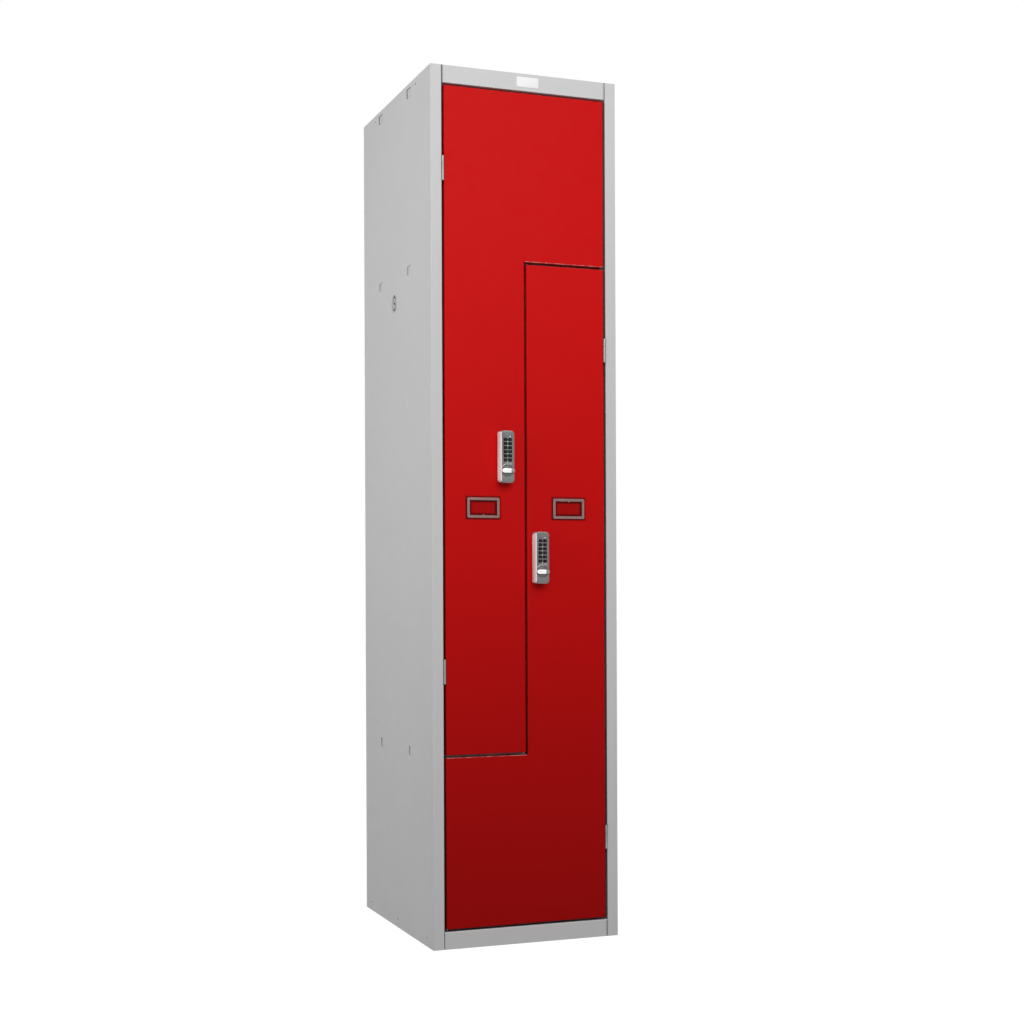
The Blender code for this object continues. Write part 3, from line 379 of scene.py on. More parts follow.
class LockerStage(PropertyGroup):
    camera_left: FloatProperty(
        name="Camera left", description="Camera left of the body's middle",
        unit="LENGTH", default=1.234, precision=4)
    camera_away: FloatProperty(
        name="Camera away", description="Camera in front of the front face",
        unit="LENGTH", default=3.1731, precision=4)
    camera_height: FloatProperty(
        name="Camera height", description="Camera above the floor",
        unit="LENGTH", default=0.7385, precision=4)
    yaw: FloatProperty(
        name="Yaw", description="Turn to the right", subtype="ANGLE", default=0.3621, precision=4)
    roll: FloatProperty(
        name="Roll", description="Tilt of the picture", subtype="ANGLE", default=-0.0039, precision=4)
    focal_px: FloatProperty(
        name="Focal length", description="In pixels of the photograph", subtype="PIXEL", default=1643.78)
    horizon_px: FloatProperty(
        name="Horizon", description="Row of the horizon in the photograph", subtype="PIXEL", default=586.40)
    photo_px: FloatProperty(
        name="Photograph", description="Width and height in pixels", subtype="PIXEL", default=1024.0)
    world_light: FloatProperty(
        name="World light", description="Even light from all round", default=0.455, min=0)
    key_power: FloatProperty(
        name="Key lamp", description="Soft lamp high in front", unit="POWER", default=48.5, min=0)
    side_power: FloatProperty(
        name="Side lamp", description="Soft lamp on the left", unit="POWER", default=10.6, min=0)
    floor_glow: FloatProperty(
        name="Floor glow", description="White of the floor as the camera sees it", default=1.27, min=0)
    floor_share: FloatProperty(
        name="Floor share", description="How much of the floor is that white; the rest takes the shadow",
        subtype="FACTOR", default=0.72, min=0, max=1)
    floor_size: FloatProperty(name="Floor", description="Side of the floor", unit="LENGTH", default=16.0)


# Numpy surfaces

def rounded_ring(width, height, radius, count=ROUND):
    """Rounded rectangle: a circle of the corner radius, each quarter pushed out to its own corner.

    x = sign(cos a) (width / 2 - radius) + radius cos a, and the same with sin and height, at angles half a
    step off the axes.
    """
    angle = 2 * np.pi * (np.arange(count) + 0.5) / count
    cos, sin = np.cos(angle), np.sin(angle)
    across = np.sign(cos) * (width / 2 - radius) + radius * cos
    return across, np.sign(sin) * (height / 2 - radius) + radius * sin


def placed(centre, out, across, up, lift):
    """Grid points on a face whose outward direction is out: centre + across right + up upwards + lift out."""
    right = np.array(UP.cross(out))
    across, up, lift = np.broadcast_arrays(across, up, lift)
    return (
        np.array(centre)
        + across[..., None] * right
        + up[..., None] * np.array(UP)
        + lift[..., None] * np.array(out)
    )


def ring_faces(rows, columns):
    """Quads between neighbouring rings that close on themselves, and a cap on the first and last ring."""
    row = np.arange(rows - 1)[:, None] * columns
    here = np.arange(columns)[None, :]
    after = (here + 1) % columns
    quads = np.stack((row + here, row + after, row + columns + after, row + columns + here), axis=-1)
    caps = [list(range(columns))[::-1], list(range((rows - 1) * columns, rows * columns))]
    return quads.reshape(-1, 4).tolist() + caps


def in_scene(name, data):
    """A new object that holds the data, in the scene."""
    item = bpy.data.objects.new(name, data)
    bpy.context.scene.collection.objects.link(item)
    return item


def add_piece(name, points, faces, material, body, smooth=True):
    """One mesh object in whole-part places, its faces turned outwards, riding on a body."""
    mesh = bpy.data.meshes.new(name)
    mesh.from_pydata(np.asarray(points).reshape(-1, 3).tolist(), [], faces)
    clean = bmesh.new()
    clean.from_mesh(mesh)
    bmesh.ops.recalc_face_normals(clean, faces=clean.faces)
    clean.to_mesh(mesh)
    clean.free()
    if smooth:
        mesh.shade_smooth()
        mesh.set_sharp_from_angle(angle=SHARP_ANGLE)
    mesh.materials.append(material)
    piece = in_scene(name, mesh)
    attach(piece, body)
    return piece


def shell(node, material, sharp=BEND_ANGLE):
    """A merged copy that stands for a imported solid, shaded smooth over its bends and flat on its flats."""
    mesh = frame["nodes"][node].data.copy()
    mesh.name = f"{node}_shell"
    merged = bmesh.new()
    merged.from_mesh(mesh)
    bmesh.ops.remove_doubles(merged, verts=merged.verts, dist=WELD)
    merged.to_mesh(mesh)
    merged.free()
    mesh.shade_smooth()
    mesh.set_sharp_from_angle(angle=sharp)
    mesh.materials.clear()
    mesh.materials.append(material)
    piece = in_scene(mesh.name, mesh)
    weighted = piece.modifiers.new("flats", "WEIGHTED_NORMAL")
    weighted.mode = "FACE_AREA_WITH_ANGLE"
    weighted.keep_sharp = True
    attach(piece, BODY_OF[node])
    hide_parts(node)
    return piece


def rounded_pad(centre, out, width, height, corner, lift, edge, rows=4):
    """A flat pad with a rounded front edge: rings of a rounded rectangle drawn in along a quarter circle.

    At turn t, inset = edge (1 - cos t) and height = lift - edge (1 - sin t), with t from 0 at the rim to
    pi / 2.
    """
    turn = np.linspace(0, np.pi / 2, rows)
    insets = np.concatenate(([0.0], edge * (1 - np.cos(turn))))
    lifts = np.concatenate(([0.0], lift - edge * (1 - np.sin(turn))))
    rings = []
    for inset, height_here in zip(insets, lifts):
        across, up = rounded_ring(width - 2 * inset, height - 2 * inset, corner - inset)
        rings.append(placed(centre, out, across, up, height_here))
    return np.array(rings), ring_faces(len(rings), ROUND)


def turned(centre, out, radii, lifts, count=SMALL_ROUND):
    """A turned form: circles (r cos a, r sin a) of the given radii r, at the given lifts along out."""
    angle = 2 * np.pi * np.arange(count) / count
    radii, lifts = np.asarray(radii)[:, None], np.asarray(lifts)[:, None]
    points = placed(centre, out, radii * np.cos(angle), radii * np.sin(angle), lifts)
    return points, ring_faces(len(radii), count)


def dome_profile(radius, height, rows=6):
    """Radii and lifts of a low dome: radius cos t and height sin t, from its rim to just short of its pole."""
    turn = np.linspace(0, np.pi / 2, rows)[:-1]
    radii = np.concatenate(([radius], radius * np.cos(turn), [radius * POLE_SHARE]))
    lifts = np.concatenate(([0.0], height * np.sin(turn), [height]))
    return radii, lifts


def band_corners(lift):
    """Side and height of a flat band's four corners, in order round it."""
    return (1, 0.0), (1, lift), (-1, lift), (-1, 0.0)


def arc_band(centre, out, radius, start, end, widths, lift, rows=28):
    """A flat band along an arc: at share s, angle = start + s (end - start), width from a table of shares."""
    share = np.linspace(0, 1, rows)
    angle = start + share * (end - start)
    half = np.interp(share, [row[0] for row in widths], [row[1] for row in widths]) / 2
    corners = []
    for side, height in band_corners(lift):
        reach = radius + side * half
        corners.append(placed(centre, out, reach * np.cos(angle), reach * np.sin(angle), height))
    return np.stack(corners, axis=1), ring_faces(rows, len(corners))


# Materials

class Tree:
    """Shorthand for building one material's nodes."""

    def __init__(self, name):
        self.material = bpy.data.materials.new(name)
        self.material.use_nodes = True
        self.nodes = self.material.node_tree.nodes
        self.links = self.material.node_tree.links
        self.shader = self.nodes["Principled BSDF"]
        self.coords = self.nodes.new("ShaderNodeTexCoord").outputs["Object"]

    def fill(self, sockets, values):
        """Each value into its socket: the output of another node, a colour or a plain number."""
        for key, value in values.items():
            if hasattr(value, "is_linked"):
                self.links.new(value, sockets[key])
            elif sockets[key].type == "RGBA":
                sockets[key].default_value = (*value, 1.0)
            else:
                sockets[key].default_value = value

    def feed(self, **values):
        """Values into the shader's own sockets."""
        self.fill(self.shader.inputs, {key.replace("_", " "): value for key, value in values.items()})

    def math(self, operation, *values):
        node = self.nodes.new("ShaderNodeMath")
        node.operation = operation
        self.fill(node.inputs, dict(enumerate(values)))
        return node.outputs[0]

    def axes(self):
        node = self.nodes.new("ShaderNodeSeparateXYZ")
        self.fill(node.inputs, {0: self.coords})
        return node.outputs

    def noise(self, scale, detail=2.0, stretch=(1, 1, 1)):
        """Cloudy noise from 0 to 1, drawn out along the axes where the stretch is small."""
        mapping = self.nodes.new("ShaderNodeMapping")
        self.fill(mapping.inputs, {"Vector": self.coords, "Scale": stretch})
        node = self.nodes.new("ShaderNodeTexNoise")
        self.fill(node.inputs, {"Vector": mapping.outputs[0], "Scale": scale, "Detail": detail})
        return node.outputs["Fac"]

    def spread(self, value, low, high, from_low=0.3, from_high=0.7, blend="LINEAR"):
        """A value spread from its own range, a noise's if none is given, over another one."""
        node = self.nodes.new("ShaderNodeMapRange")
        node.interpolation_type = blend
        self.fill(node.inputs, {
            "Value": value, "From Min": from_low, "From Max": from_high, "To Min": low, "To Max": high})
        return node.outputs[0]

    def fade(self, value, low, high):
        """0 below low, 1 above high, and a smooth rise between them; high may be the lower one."""
        if high > low:
            return self.spread(value, 0, 1, low, high, "SMOOTHSTEP")
        return self.spread(value, 1, 0, high, low, "SMOOTHSTEP")

    def band(self, value, centre, half):
        """1 where a value lies within half of centre, else 0."""
        return self.math("COMPARE", value, centre, half)

    def all_of(self, *shares):
        """The product of several shares."""
        result = shares[0]
        for share in shares[1:]:
            result = self.math("MULTIPLY", result, share)
        return result

    def off(self, value, centre):
        """How far a value lies from centre, either way."""
        return self.math("ABSOLUTE", self.math("SUBTRACT", value, centre))

    def ramp(self, value, stops):
        """Colours at places along a value from 0 to 1, blended smoothly."""
        node = self.nodes.new("ShaderNodeValToRGB")
        node.color_ramp.interpolation = "CARDINAL"
        elements = node.color_ramp.elements
        while len(elements) < len(stops):
            elements.new(0.5)
        for element, (place, colour) in zip(elements, stops):
            element.position = place
            element.color = (*colour, 1.0)
        self.fill(node.inputs, {0: value})
        return node.outputs[0]

    def mix(self, share, first, second, blend="MIX"):
        """The second colour laid over the first by a share."""
        node = self.nodes.new("ShaderNodeMix")
        node.data_type = "RGBA"
        node.blend_type = blend
        colours = [item for item in node.inputs if item.type == "RGBA"]
        self.fill([node.inputs["Factor"], *colours], {0: share, 1: first, 2: second})
        return [item for item in node.outputs if item.type == "RGBA"][0]

    def times(self, colour, value):
        """A colour made lighter or darker by a value."""
        return self.mix(1.0, colour, value, "MULTIPLY")

    def bump(self, height, distance, strength, under=None):
        """Fine relief from a height, on top of another relief where one is given."""
        node = self.nodes.new("ShaderNodeBump")
        values = {"Height": height, "Distance": distance, "Strength": strength}
        if under is not None:
            values["Normal"] = under
        self.fill(node.inputs, values)
        return node.outputs[0]


def shaded(colour, amount):
    return tuple(min(1.0, part * amount) for part in colour)


def powder_coat(name, colour, paint, height_shares=EVEN_SHARES, specular=BODY_SPECULAR, layers=()):
    """Sprayed powder coat: fine orange peel, soft waves of the sheet, slow changes of shade.

    height_shares gives how much of the colour shows at shares of the body's height: painted shade,
    darker towards the floor. Each layer is a function of the tree and the three coordinates that gives a share
    and a colour laid over what is below. Where a layer is darker than GLOSSLESS_BELOW, as the painted shadow
    in the side windows is, it has no gloss.
    """
    tree = Tree(name)
    tree.feed(Specular_IOR_Level=specular)
    x, y, z = tree.axes()
    stops = [(place, shaded(colour, share)) for place, share in height_shares]
    base = tree.ramp(tree.spread(z, 0, 1, FLOOR_Z, TOP_Z), stops)
    base = tree.times(base, tree.spread(tree.noise(SHADE_SCALE), *SHADE_RANGE))
    for layer in layers:
        share, layer_colour = layer(tree, x, y, z)
        base = tree.mix(share, base, layer_colour)
        if max(layer_colour) < GLOSSLESS_BELOW:
            tree.feed(Specular_IOR_Level=tree.spread(share, specular, 0.0, 0, 1))
    waves = tree.bump(tree.noise(SHEET_WAVE_SCALE, 1.0), SHEET_WAVE_H, 0.35)
    tree.feed(
        Base_Color=base,
        Roughness=tree.spread(tree.noise(COAT_GLOSS_SCALE, 3.0), *COAT_ROUGHNESS),
        Normal=tree.bump(tree.noise(PEEL_SCALE), paint.peel, 0.5, waves))
    return tree.material


def seam_shade_layer(paint):
    """Painted shade on the returns inside the seams, darker deeper behind the front, where little light
    reaches.
    """
    low, high = BASE_TOP_Z - paint.bend, RAIL_LOW_Z - paint.bend

    def layer(tree, x, y, z):
        share = tree.all_of(
            tree.fade(y, FRONT_Y, FRONT_Y + paint.return_depth),
            tree.fade(y, FRONT_Y + SEAM_DEPTH + 2 * paint.bend, FRONT_Y + SEAM_DEPTH),
            tree.math("LESS_THAN", tree.math("ABSOLUTE", x), STILE_EDGE_X + paint.bend / 4),
            tree.band(z, (low + high) / 2, (high - low) / 2))
        return share, shaded(paint.body_colour, SEAM_SHADE_SHARE)

    return layer


def window_shadow_rim(tree, y, z):
    """Painted shadow on a narrow rim round the two windows near the top."""
    from_front = tree.math("MINIMUM", *(
        tree.off(y, FRONT_Y + depth) for depth in (WINDOW_FRONT, WINDOW_REAR)))
    beside = tree.math("SUBTRACT", from_front, WINDOW_W / 2)
    above = tree.math("SUBTRACT", tree.off(z, TOP_Z - TOP_WINDOW_DROP), WINDOW_H / 2)
    return tree.math("LESS_THAN", tree.math("MAXIMUM", beside, above), SHADOW_RIM_WIDTH)


def window_shadow_layer(paint, high):
    """Painted shadow on the cut edges of the side windows: near black near the top, grey at the shelves."""
    def layer(tree, x, y, z):
        side = tree.math("ABSOLUTE", x)
        share = tree.all_of(
            tree.band(side, RIGHT_X - SHEET / 2, SHEET / 2 - CUT_EDGE_IN),
            tree.band(y, (FRONT_Y + BACK_Y) / 2, (BACK_Y - FRONT_Y) / 2 - WINDOW_MARGIN),
            tree.math("GREATER_THAN" if high else "LESS_THAN", z, TOP_Z - WINDOW_MARGIN))
        if high:
            share = tree.math("MAXIMUM", share, window_shadow_rim(tree, y, z))
        return share, tuple(paint.window_shadow_colour if high else paint.shelf_window_shadow_colour)

    return layer


def rail_end_shade_layer(paint, low):
    """Painted shade that darkens the coat towards both ends of the top rail, or towards the base rail's right
    end.
    """
    def layer(tree, x, y, z):
        end = STILE_EDGE_X - paint.seam
        share = tree.all_of(
            tree.fade(x if low else tree.math("ABSOLUTE", x), end - paint.end_shade_reach, end),
            tree.math("LESS_THAN", y, FRONT_Y + paint.bend),
            tree.math("LESS_THAN" if low else "GREATER_THAN", z, RAIL_LOW_Z - paint.bend))
        return share, shaded(paint.body_colour, RAIL_END_SHADE_SHARE)

    return layer


def gap_light_layer(paint):
    """Painted light: a paler grey on the underside of the top rail and what is behind it, in the gap above the
    doors.
    """
    def layer(tree, x, y, z):
        share = tree.all_of(
            tree.band(z, RAIL_LOW_Z, paint.bend),
            tree.band(y, FRONT_Y + SEAM_DEPTH / 2 + paint.bend, SEAM_DEPTH / 2))
        return share, shaded(paint.body_colour, GAP_LIGHT_SHARE)

    return layer


def fold_highlight_layer(paint):
    """Painted highlight on the upper fold of the base rail."""
    half = paint.bend * FOLD_HIGHLIGHT_HALF

    def layer(tree, x, y, z):
        share = tree.all_of(
            tree.band(z, BASE_TOP_Z - half, half),
            tree.math("LESS_THAN", y, FRONT_Y + paint.bend))
        return share, shaded(paint.body_colour, FOLD_HIGHLIGHT_SHARE)

    return layer


def label_shadow_layer(side, paint):
    """Painted shadow beside the label holder's bars, and less of it on all that they frame."""
    low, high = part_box(f"label_holder_{side}")
    centre = box_centre(low, high)

    def layer(tree, x, y, z):
        out_x = tree.math("SUBTRACT", tree.off(x, centre[0]), (high[0] - low[0]) / 2)
        out_z = tree.math("SUBTRACT", tree.off(z, centre[2]), (high[2] - low[2]) / 2)
        out = tree.math("MAXIMUM", out_x, out_z)
        near = tree.fade(out, SHADOW_REACH, 0.0)
        bars = tree.fade(out, -LABEL_BAR - SHADOW_INNER_END, -LABEL_BAR - SHADOW_INNER_FULL)
        bars = tree.spread(bars, SHADOW_INSIDE, SHADOW_BESIDE, 0, 1)
        outside = tree.math("LESS_THAN", y, FRONT_Y + paint.bend / 4)
        return tree.all_of(near, bars, outside), shaded(paint.door_colour, LABEL_SHADOW_SHARE)

    return layer


def step_highlight_layer(paint, side):
    """Painted highlight: a pale, broken line on the bend along the door's step."""
    sign = -1 if side == "left" else 1
    inwards = paint.highlight_in * HIGHLIGHT_IN_SHARES[side]

    def layer(tree, x, y, z):
        share = tree.all_of(
            tree.band(z, STEP_Z[side] - sign * inwards, paint.highlight_half),
            tree.math("LESS_THAN", y, FRONT_Y + paint.bend),
            tree.math("GREATER_THAN", tree.math("MULTIPLY", x, -sign), 0.0),
            tree.spread(tree.noise(HIGHLIGHT_BREAK_SCALE, 1.0), *HIGHLIGHT_BREAK_RANGE))
        return share, tuple(paint.step_highlight_colour)

    return layer


def plated_steel(name, colour, roughness, stretch, metallic, front=None):
    """Plated sheet: fine rolling lines along one way and slow changes of tone.

    Where the place of the front face is given, the walls behind it get painted shade.
    """
    tree = Tree(name)
    cloud = tree.noise(PLATING_CLOUD_SCALE, 3.0)
    base = tree.mix(tree.spread(cloud, 0, 1), *(shaded(colour, share) for share in PLATING_RANGE))
    if front is not None:
        walls = tree.fade(tree.axes()[1], front + WALL_FROM, front + WALL_TO)
        base = tree.mix(walls, base, shaded(colour, WALL_SHADE_SHARE))
    lines = tree.noise(ROLLING_SCALE, stretch=stretch)
    tree.feed(
        Base_Color=base,
        Metallic=metallic,
        Roughness=tree.spread(lines, *roughness),
        Normal=tree.bump(lines, FINE_GRAIN_H, 0.5))
    return tree.material


def cast_silver(name, low, high, rim, keys_low, keys_high):
    """Satin casting: painted light on the left flank, painted shade on the other flanks, and a satin face
    inside a narrow rim.

    The left flank has no gloss, and the face is paler between the keys.
    """
    tree = Tree(name)
    x, _, z = tree.axes()
    middle = box_centre(low, high)
    across = tree.math("LESS_THAN", tree.off(x, middle[0]), (high[0] - low[0]) / 2 - rim)
    up = tree.math("LESS_THAN", tree.off(z, middle[2]), (high[2] - low[2]) / 2 - rim)
    face = tree.all_of(across, up)
    left = tree.fade(x, low[0] + 2 * rim, low[0] + rim)
    speck = tree.spread(tree.noise(SPECK_SCALE, 1.0), *SPECK_RANGE)
    flank = tree.mix(left, FLANK_PAINTED_SHADE, FLANK_PAINTED_LIGHT)
    keys_middle = box_centre(keys_low, keys_high)
    keypad = tree.all_of(
        tree.band(x, keys_middle[0], (keys_high[0] - keys_low[0]) / 2),
        tree.band(z, keys_middle[2], (keys_high[2] - keys_low[2]) / 2))
    satin = tree.mix(keypad, FACE_SILVER, KEYPAD_SILVER)
    tree.feed(
        Base_Color=tree.times(tree.mix(face, flank, satin), speck),
        Specular_IOR_Level=tree.spread(left, CASTING_SPECULAR, 0.0, 0, 1),
        Metallic=tree.spread(left, CASTING_METALLIC, 0.0, 0, 1),
        Roughness=tree.spread(tree.noise(CASTING_GLOSS_SCALE), *CASTING_ROUGHNESS),
        Normal=tree.bump(speck, FINE_GRAIN_H, 0.35))
    return tree.material


def knob_plate(name, low, high, disc_y):
    """Plated thumb turn: satin dark disc, and a grip with a painted reflection, bright on the left and darker
    towards its right end.
    """
    tree = Tree(name)
    x, y, _ = tree.axes()
    middle = box_centre(low, high)
    grip = tree.math("LESS_THAN", y, disc_y)
    grip_reflection = tree.fade(x, middle[0] + GRIP_PAINTED_DARK_FROM, middle[0] + GRIP_PAINTED_DARK_TO)
    haze = tree.spread(tree.noise(HAZE_SCALE, 3.0), *HAZE_RANGE)
    plate = tree.mix(grip_reflection, GRIP_PAINTED_HIGHLIGHT, GRIP_PAINTED_DARK)
    tree.feed(
        Base_Color=tree.times(tree.mix(grip, DISC_DARK, plate), haze),
        Metallic=1.0,
        Roughness=tree.spread(grip, *KNOB_ROUGHNESS, 0, 1),
        Normal=tree.bump(tree.noise(POLISH_SCALE), POLISH_H, 0.4))
    return tree.material


def moulded_plastic(name, colour, roughness, grain, specular):
    """Spark-eroded moulding: fine even grain."""
    tree = Tree(name)
    specks = tree.noise(grain)
    tree.feed(
        Specular_IOR_Level=specular,
        Base_Color=tree.mix(tree.spread(specks, 0, 1), *(shaded(colour, share) for share in MOULDING_RANGE)),
        Roughness=tree.spread(tree.noise(MOULDING_GLOSS_SCALE), *roughness),
        Normal=tree.bump(specks, MOULDING_GRAIN_H, 0.5))
    return tree.material


def hook_plastic(name, low, high, side):
    """Pale moulding of a coat hook, with painted shade down in the groove of its base."""
    tree = Tree(name)
    x, y, z = tree.axes()
    centre = box_centre(low, high)
    inward = tree.off(x, low[0] if side == "left" else high[0])
    aside = tree.math("MAXIMUM", tree.off(y, centre[1]), tree.off(z, centre[2]))
    groove = tree.all_of(
        tree.fade(inward, GROOVE_FROM, GROOVE_TO),
        tree.math("LESS_THAN", inward, GROOVE_END),
        tree.math("LESS_THAN", aside, GROOVE_REACH))
    cloud = tree.spread(tree.noise(MOULDING_GRAIN_SCALE), *HOOK_RANGE)
    tree.feed(
        Base_Color=tree.times(tree.mix(groove, HOOK_PALE, HOOK_GROOVE_SHADE), cloud),
        Specular_IOR_Level=SATIN_SPECULAR,
        Roughness=tree.spread(tree.noise(MOULDING_GLOSS_SCALE), *MOULDING_ROUGHNESS),
        Normal=tree.bump(cloud, MOULDING_GRAIN_H, 0.5))
    return tree.material


def printed_ink(name, colour):
    """Screen-printed ink, slightly uneven."""
    tree = Tree(name)
    patch = tree.noise(INK_SCALE)
    tree.feed(
        Specular_IOR_Level=SATIN_SPECULAR,
        Base_Color=tree.mix(tree.spread(patch, 0, 1), shaded(colour, INK_THIN_SHARE), colour),
        Roughness=tree.spread(patch, *INK_ROUGHNESS))
    return tree.material


def paint_node(node, material):
    """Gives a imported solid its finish, and leaves its mesh alone."""
    item = frame["nodes"][node]
    item.data.materials.clear()
    item.data.materials.append(material)
    for material_slot in item.material_slots:
        material_slot.material = material


def finished(name, maker, *args, **kwargs):
    """The named material, made once."""
    found = bpy.data.materials.get(name)
    return found or maker(name, *args, **kwargs)


# Operators

class LOCKER_OT_paint_body(Operator):
    """Grey powder coat on every folded sheet of the body"""
    bl_idname = "locker.paint_body"
    bl_label = "Paint the body"

    def execute(self, context):
        paint = context.scene.locker_paint
        colour = tuple(paint.body_colour)
        # Painted shade on the returns inside the seams, on the side panels and on the rails
        folds = seam_shade_layer(paint)
        # Painted shadow in the side windows
        side = finished(
            "side_grey_coat", powder_coat, colour, paint, BODY_SHADE_BY_HEIGHT,
            layers=(folds, window_shadow_layer(paint, False), window_shadow_layer(paint, True)))
        # Painted shade at the rail ends, a painted highlight on the base rail's fold and painted light under
        # the top rail
        ends = [rail_end_shade_layer(paint, low) for low in (False, True)]
        rail = finished(
            "rail_grey_coat", powder_coat, colour, paint, BODY_SHADE_BY_HEIGHT,
            layers=(folds, *ends, fold_highlight_layer(paint), gap_light_layer(paint)))
        inner = finished("inner_grey_coat", powder_coat, colour, paint)
        for side_name in SIDES:
            shell(f"side_panel_{side_name}", side)
        for node in ("top_panel", "base_panel"):
            shell(node, rail)
        for node in ("back_panel", "upper_shelf", "lower_shelf", "centre_divider"):
            paint_node(node, inner)
        return {"FINISHED"}


class LOCKER_OT_paint_doors(Operator):
    """Red powder coat on both doors and their stiffeners"""
    bl_idname = "locker.paint_doors"
    bl_label = "Paint the doors"

    def execute(self, context):
        paint = context.scene.locker_paint
        for side in SIDES:
            # Painted shadow round the label holder and a painted highlight along the step, over the door's red
            coat = finished(
                f"door_red_coat_{side}", powder_coat, tuple(paint.door_colour), paint,
                DOOR_SHADE_BY_HEIGHT, DOOR_SPECULAR, (label_shadow_layer(side, paint), step_highlight_layer(paint, side)))
            shell(f"door_panel_{side}", coat)
            paint_node(f"door_stiffener_{side}", coat)
        return {"FINISHED"}


class LOCKER_OT_finish_fittings(Operator):
    """Metal and plastic finishes on hinges, label holders, locks, keys and hooks"""
    bl_idname = "locker.finish_fittings"
    bl_label = "Finish the fittings"

    def execute(self, context):
        trim = context.scene.locker_lock
        zinc = finished("zinc_plate", plated_steel, *ZINC)
        label_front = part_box("label_holder_left")[0][1]
        # The label holders' walls get painted shade
        label = finished("label_plate", plated_steel, *LABEL_STEEL, front=label_front)
        black = finished("key_rubber", moulded_plastic, *KEY_RUBBER)
        for side in SIDES:
            for level in LEVELS:
                for part in ("leaf_frame", "leaf_door", "pin"):
                    shell(f"hinge_{part}_{side}_{level}", zinc)
            shell(f"label_holder_{side}", label, FINE_ANGLE)
            # The hook's groove gets painted shade
            hook = finished(f"hook_moulding_{side}", hook_plastic, *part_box(f"coat_hook_{side}"), side)
            shell(f"coat_hook_{side}", hook)
            paint_node(f"lock_back_plate_{side}", zinc)
            paint_node(f"lock_cam_{side}", zinc)
            for number in range(1, KEYS + 1):
                paint_node(f"key_{side}_{number:02d}", black)
            low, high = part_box(f"lock_housing_{side}")
            keys = [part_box(f"key_{side}_{number:02d}") for number in range(1, KEYS + 1)]
            # The housing's flanks get painted light and shade
            silver = finished(
                f"lock_silver_{side}", cast_silver, low, high, trim.rim,
                np.min([box[0] for box in keys], axis=0), np.max([box[1] for box in keys], axis=0))
            shell(f"lock_housing_{side}", silver)
            knob_low, knob_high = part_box(f"lock_knob_{side}")
            # The knob's grip gets a painted reflection
            plate = finished(f"knob_plate_{side}", knob_plate, knob_low, knob_high, low[1] - KNOB_DISC_T)
            shell(f"lock_knob_{side}", plate)
        return {"FINISHED"}


class LOCKER_OT_rail_plate(Operator):
    """Bare plate on the top rail"""
    bl_idname = "locker.rail_plate"
    bl_label = "Bare rail plate"

    def execute(self, context):
        plate = context.scene.locker_plate
        centre = ((LEFT_X + RIGHT_X) / 2 + plate.offset, FRONT_Y, RAIL_LOW_Z + plate.rise)
        points, faces = rounded_pad(
            centre, FRONT_OUT, plate.width, plate.height, plate.corner, plate.thickness, plate.thickness / 2)
        white = finished("plate_print", moulded_plastic, tuple(plate.colour), *PLATE_FINISH)
        add_piece("rail_plate", points, faces, white, "frame")
        return {"FINISHED"}


class LOCKER_OT_rivets(Operator):
    """Flat rivet heads near the top and the bottom of both side panels"""
    bl_idname = "locker.rivets"
    bl_label = "Rivets"

    def execute(self, context):
        rivet = context.scene.locker_rivets
        depth = BACK_Y - FRONT_Y
        places = [(share, TOP_Z - rivet.top_drop) for share in TOP_RIVET_SHARES]
        places += [(share, FLOOR_Z + rivet.low_rise) for share in LOW_RIVET_SHARES]
        steel = finished("rivet_coat", plated_steel, *RIVET_STEEL)
        for side, face_x, out in (("left", LEFT_X, LEFT_OUT), ("right", RIGHT_X, RIGHT_OUT)):
            for number, (share, z) in enumerate(places, start=1):
                radii, lifts = dome_profile(rivet.radius, rivet.height)
                points, faces = turned((face_x, FRONT_Y + share * depth, z), out, radii, lifts)
                add_piece(f"rivet_{side}_{number}", points, faces, steel, "frame")
        return {"FINISHED"}


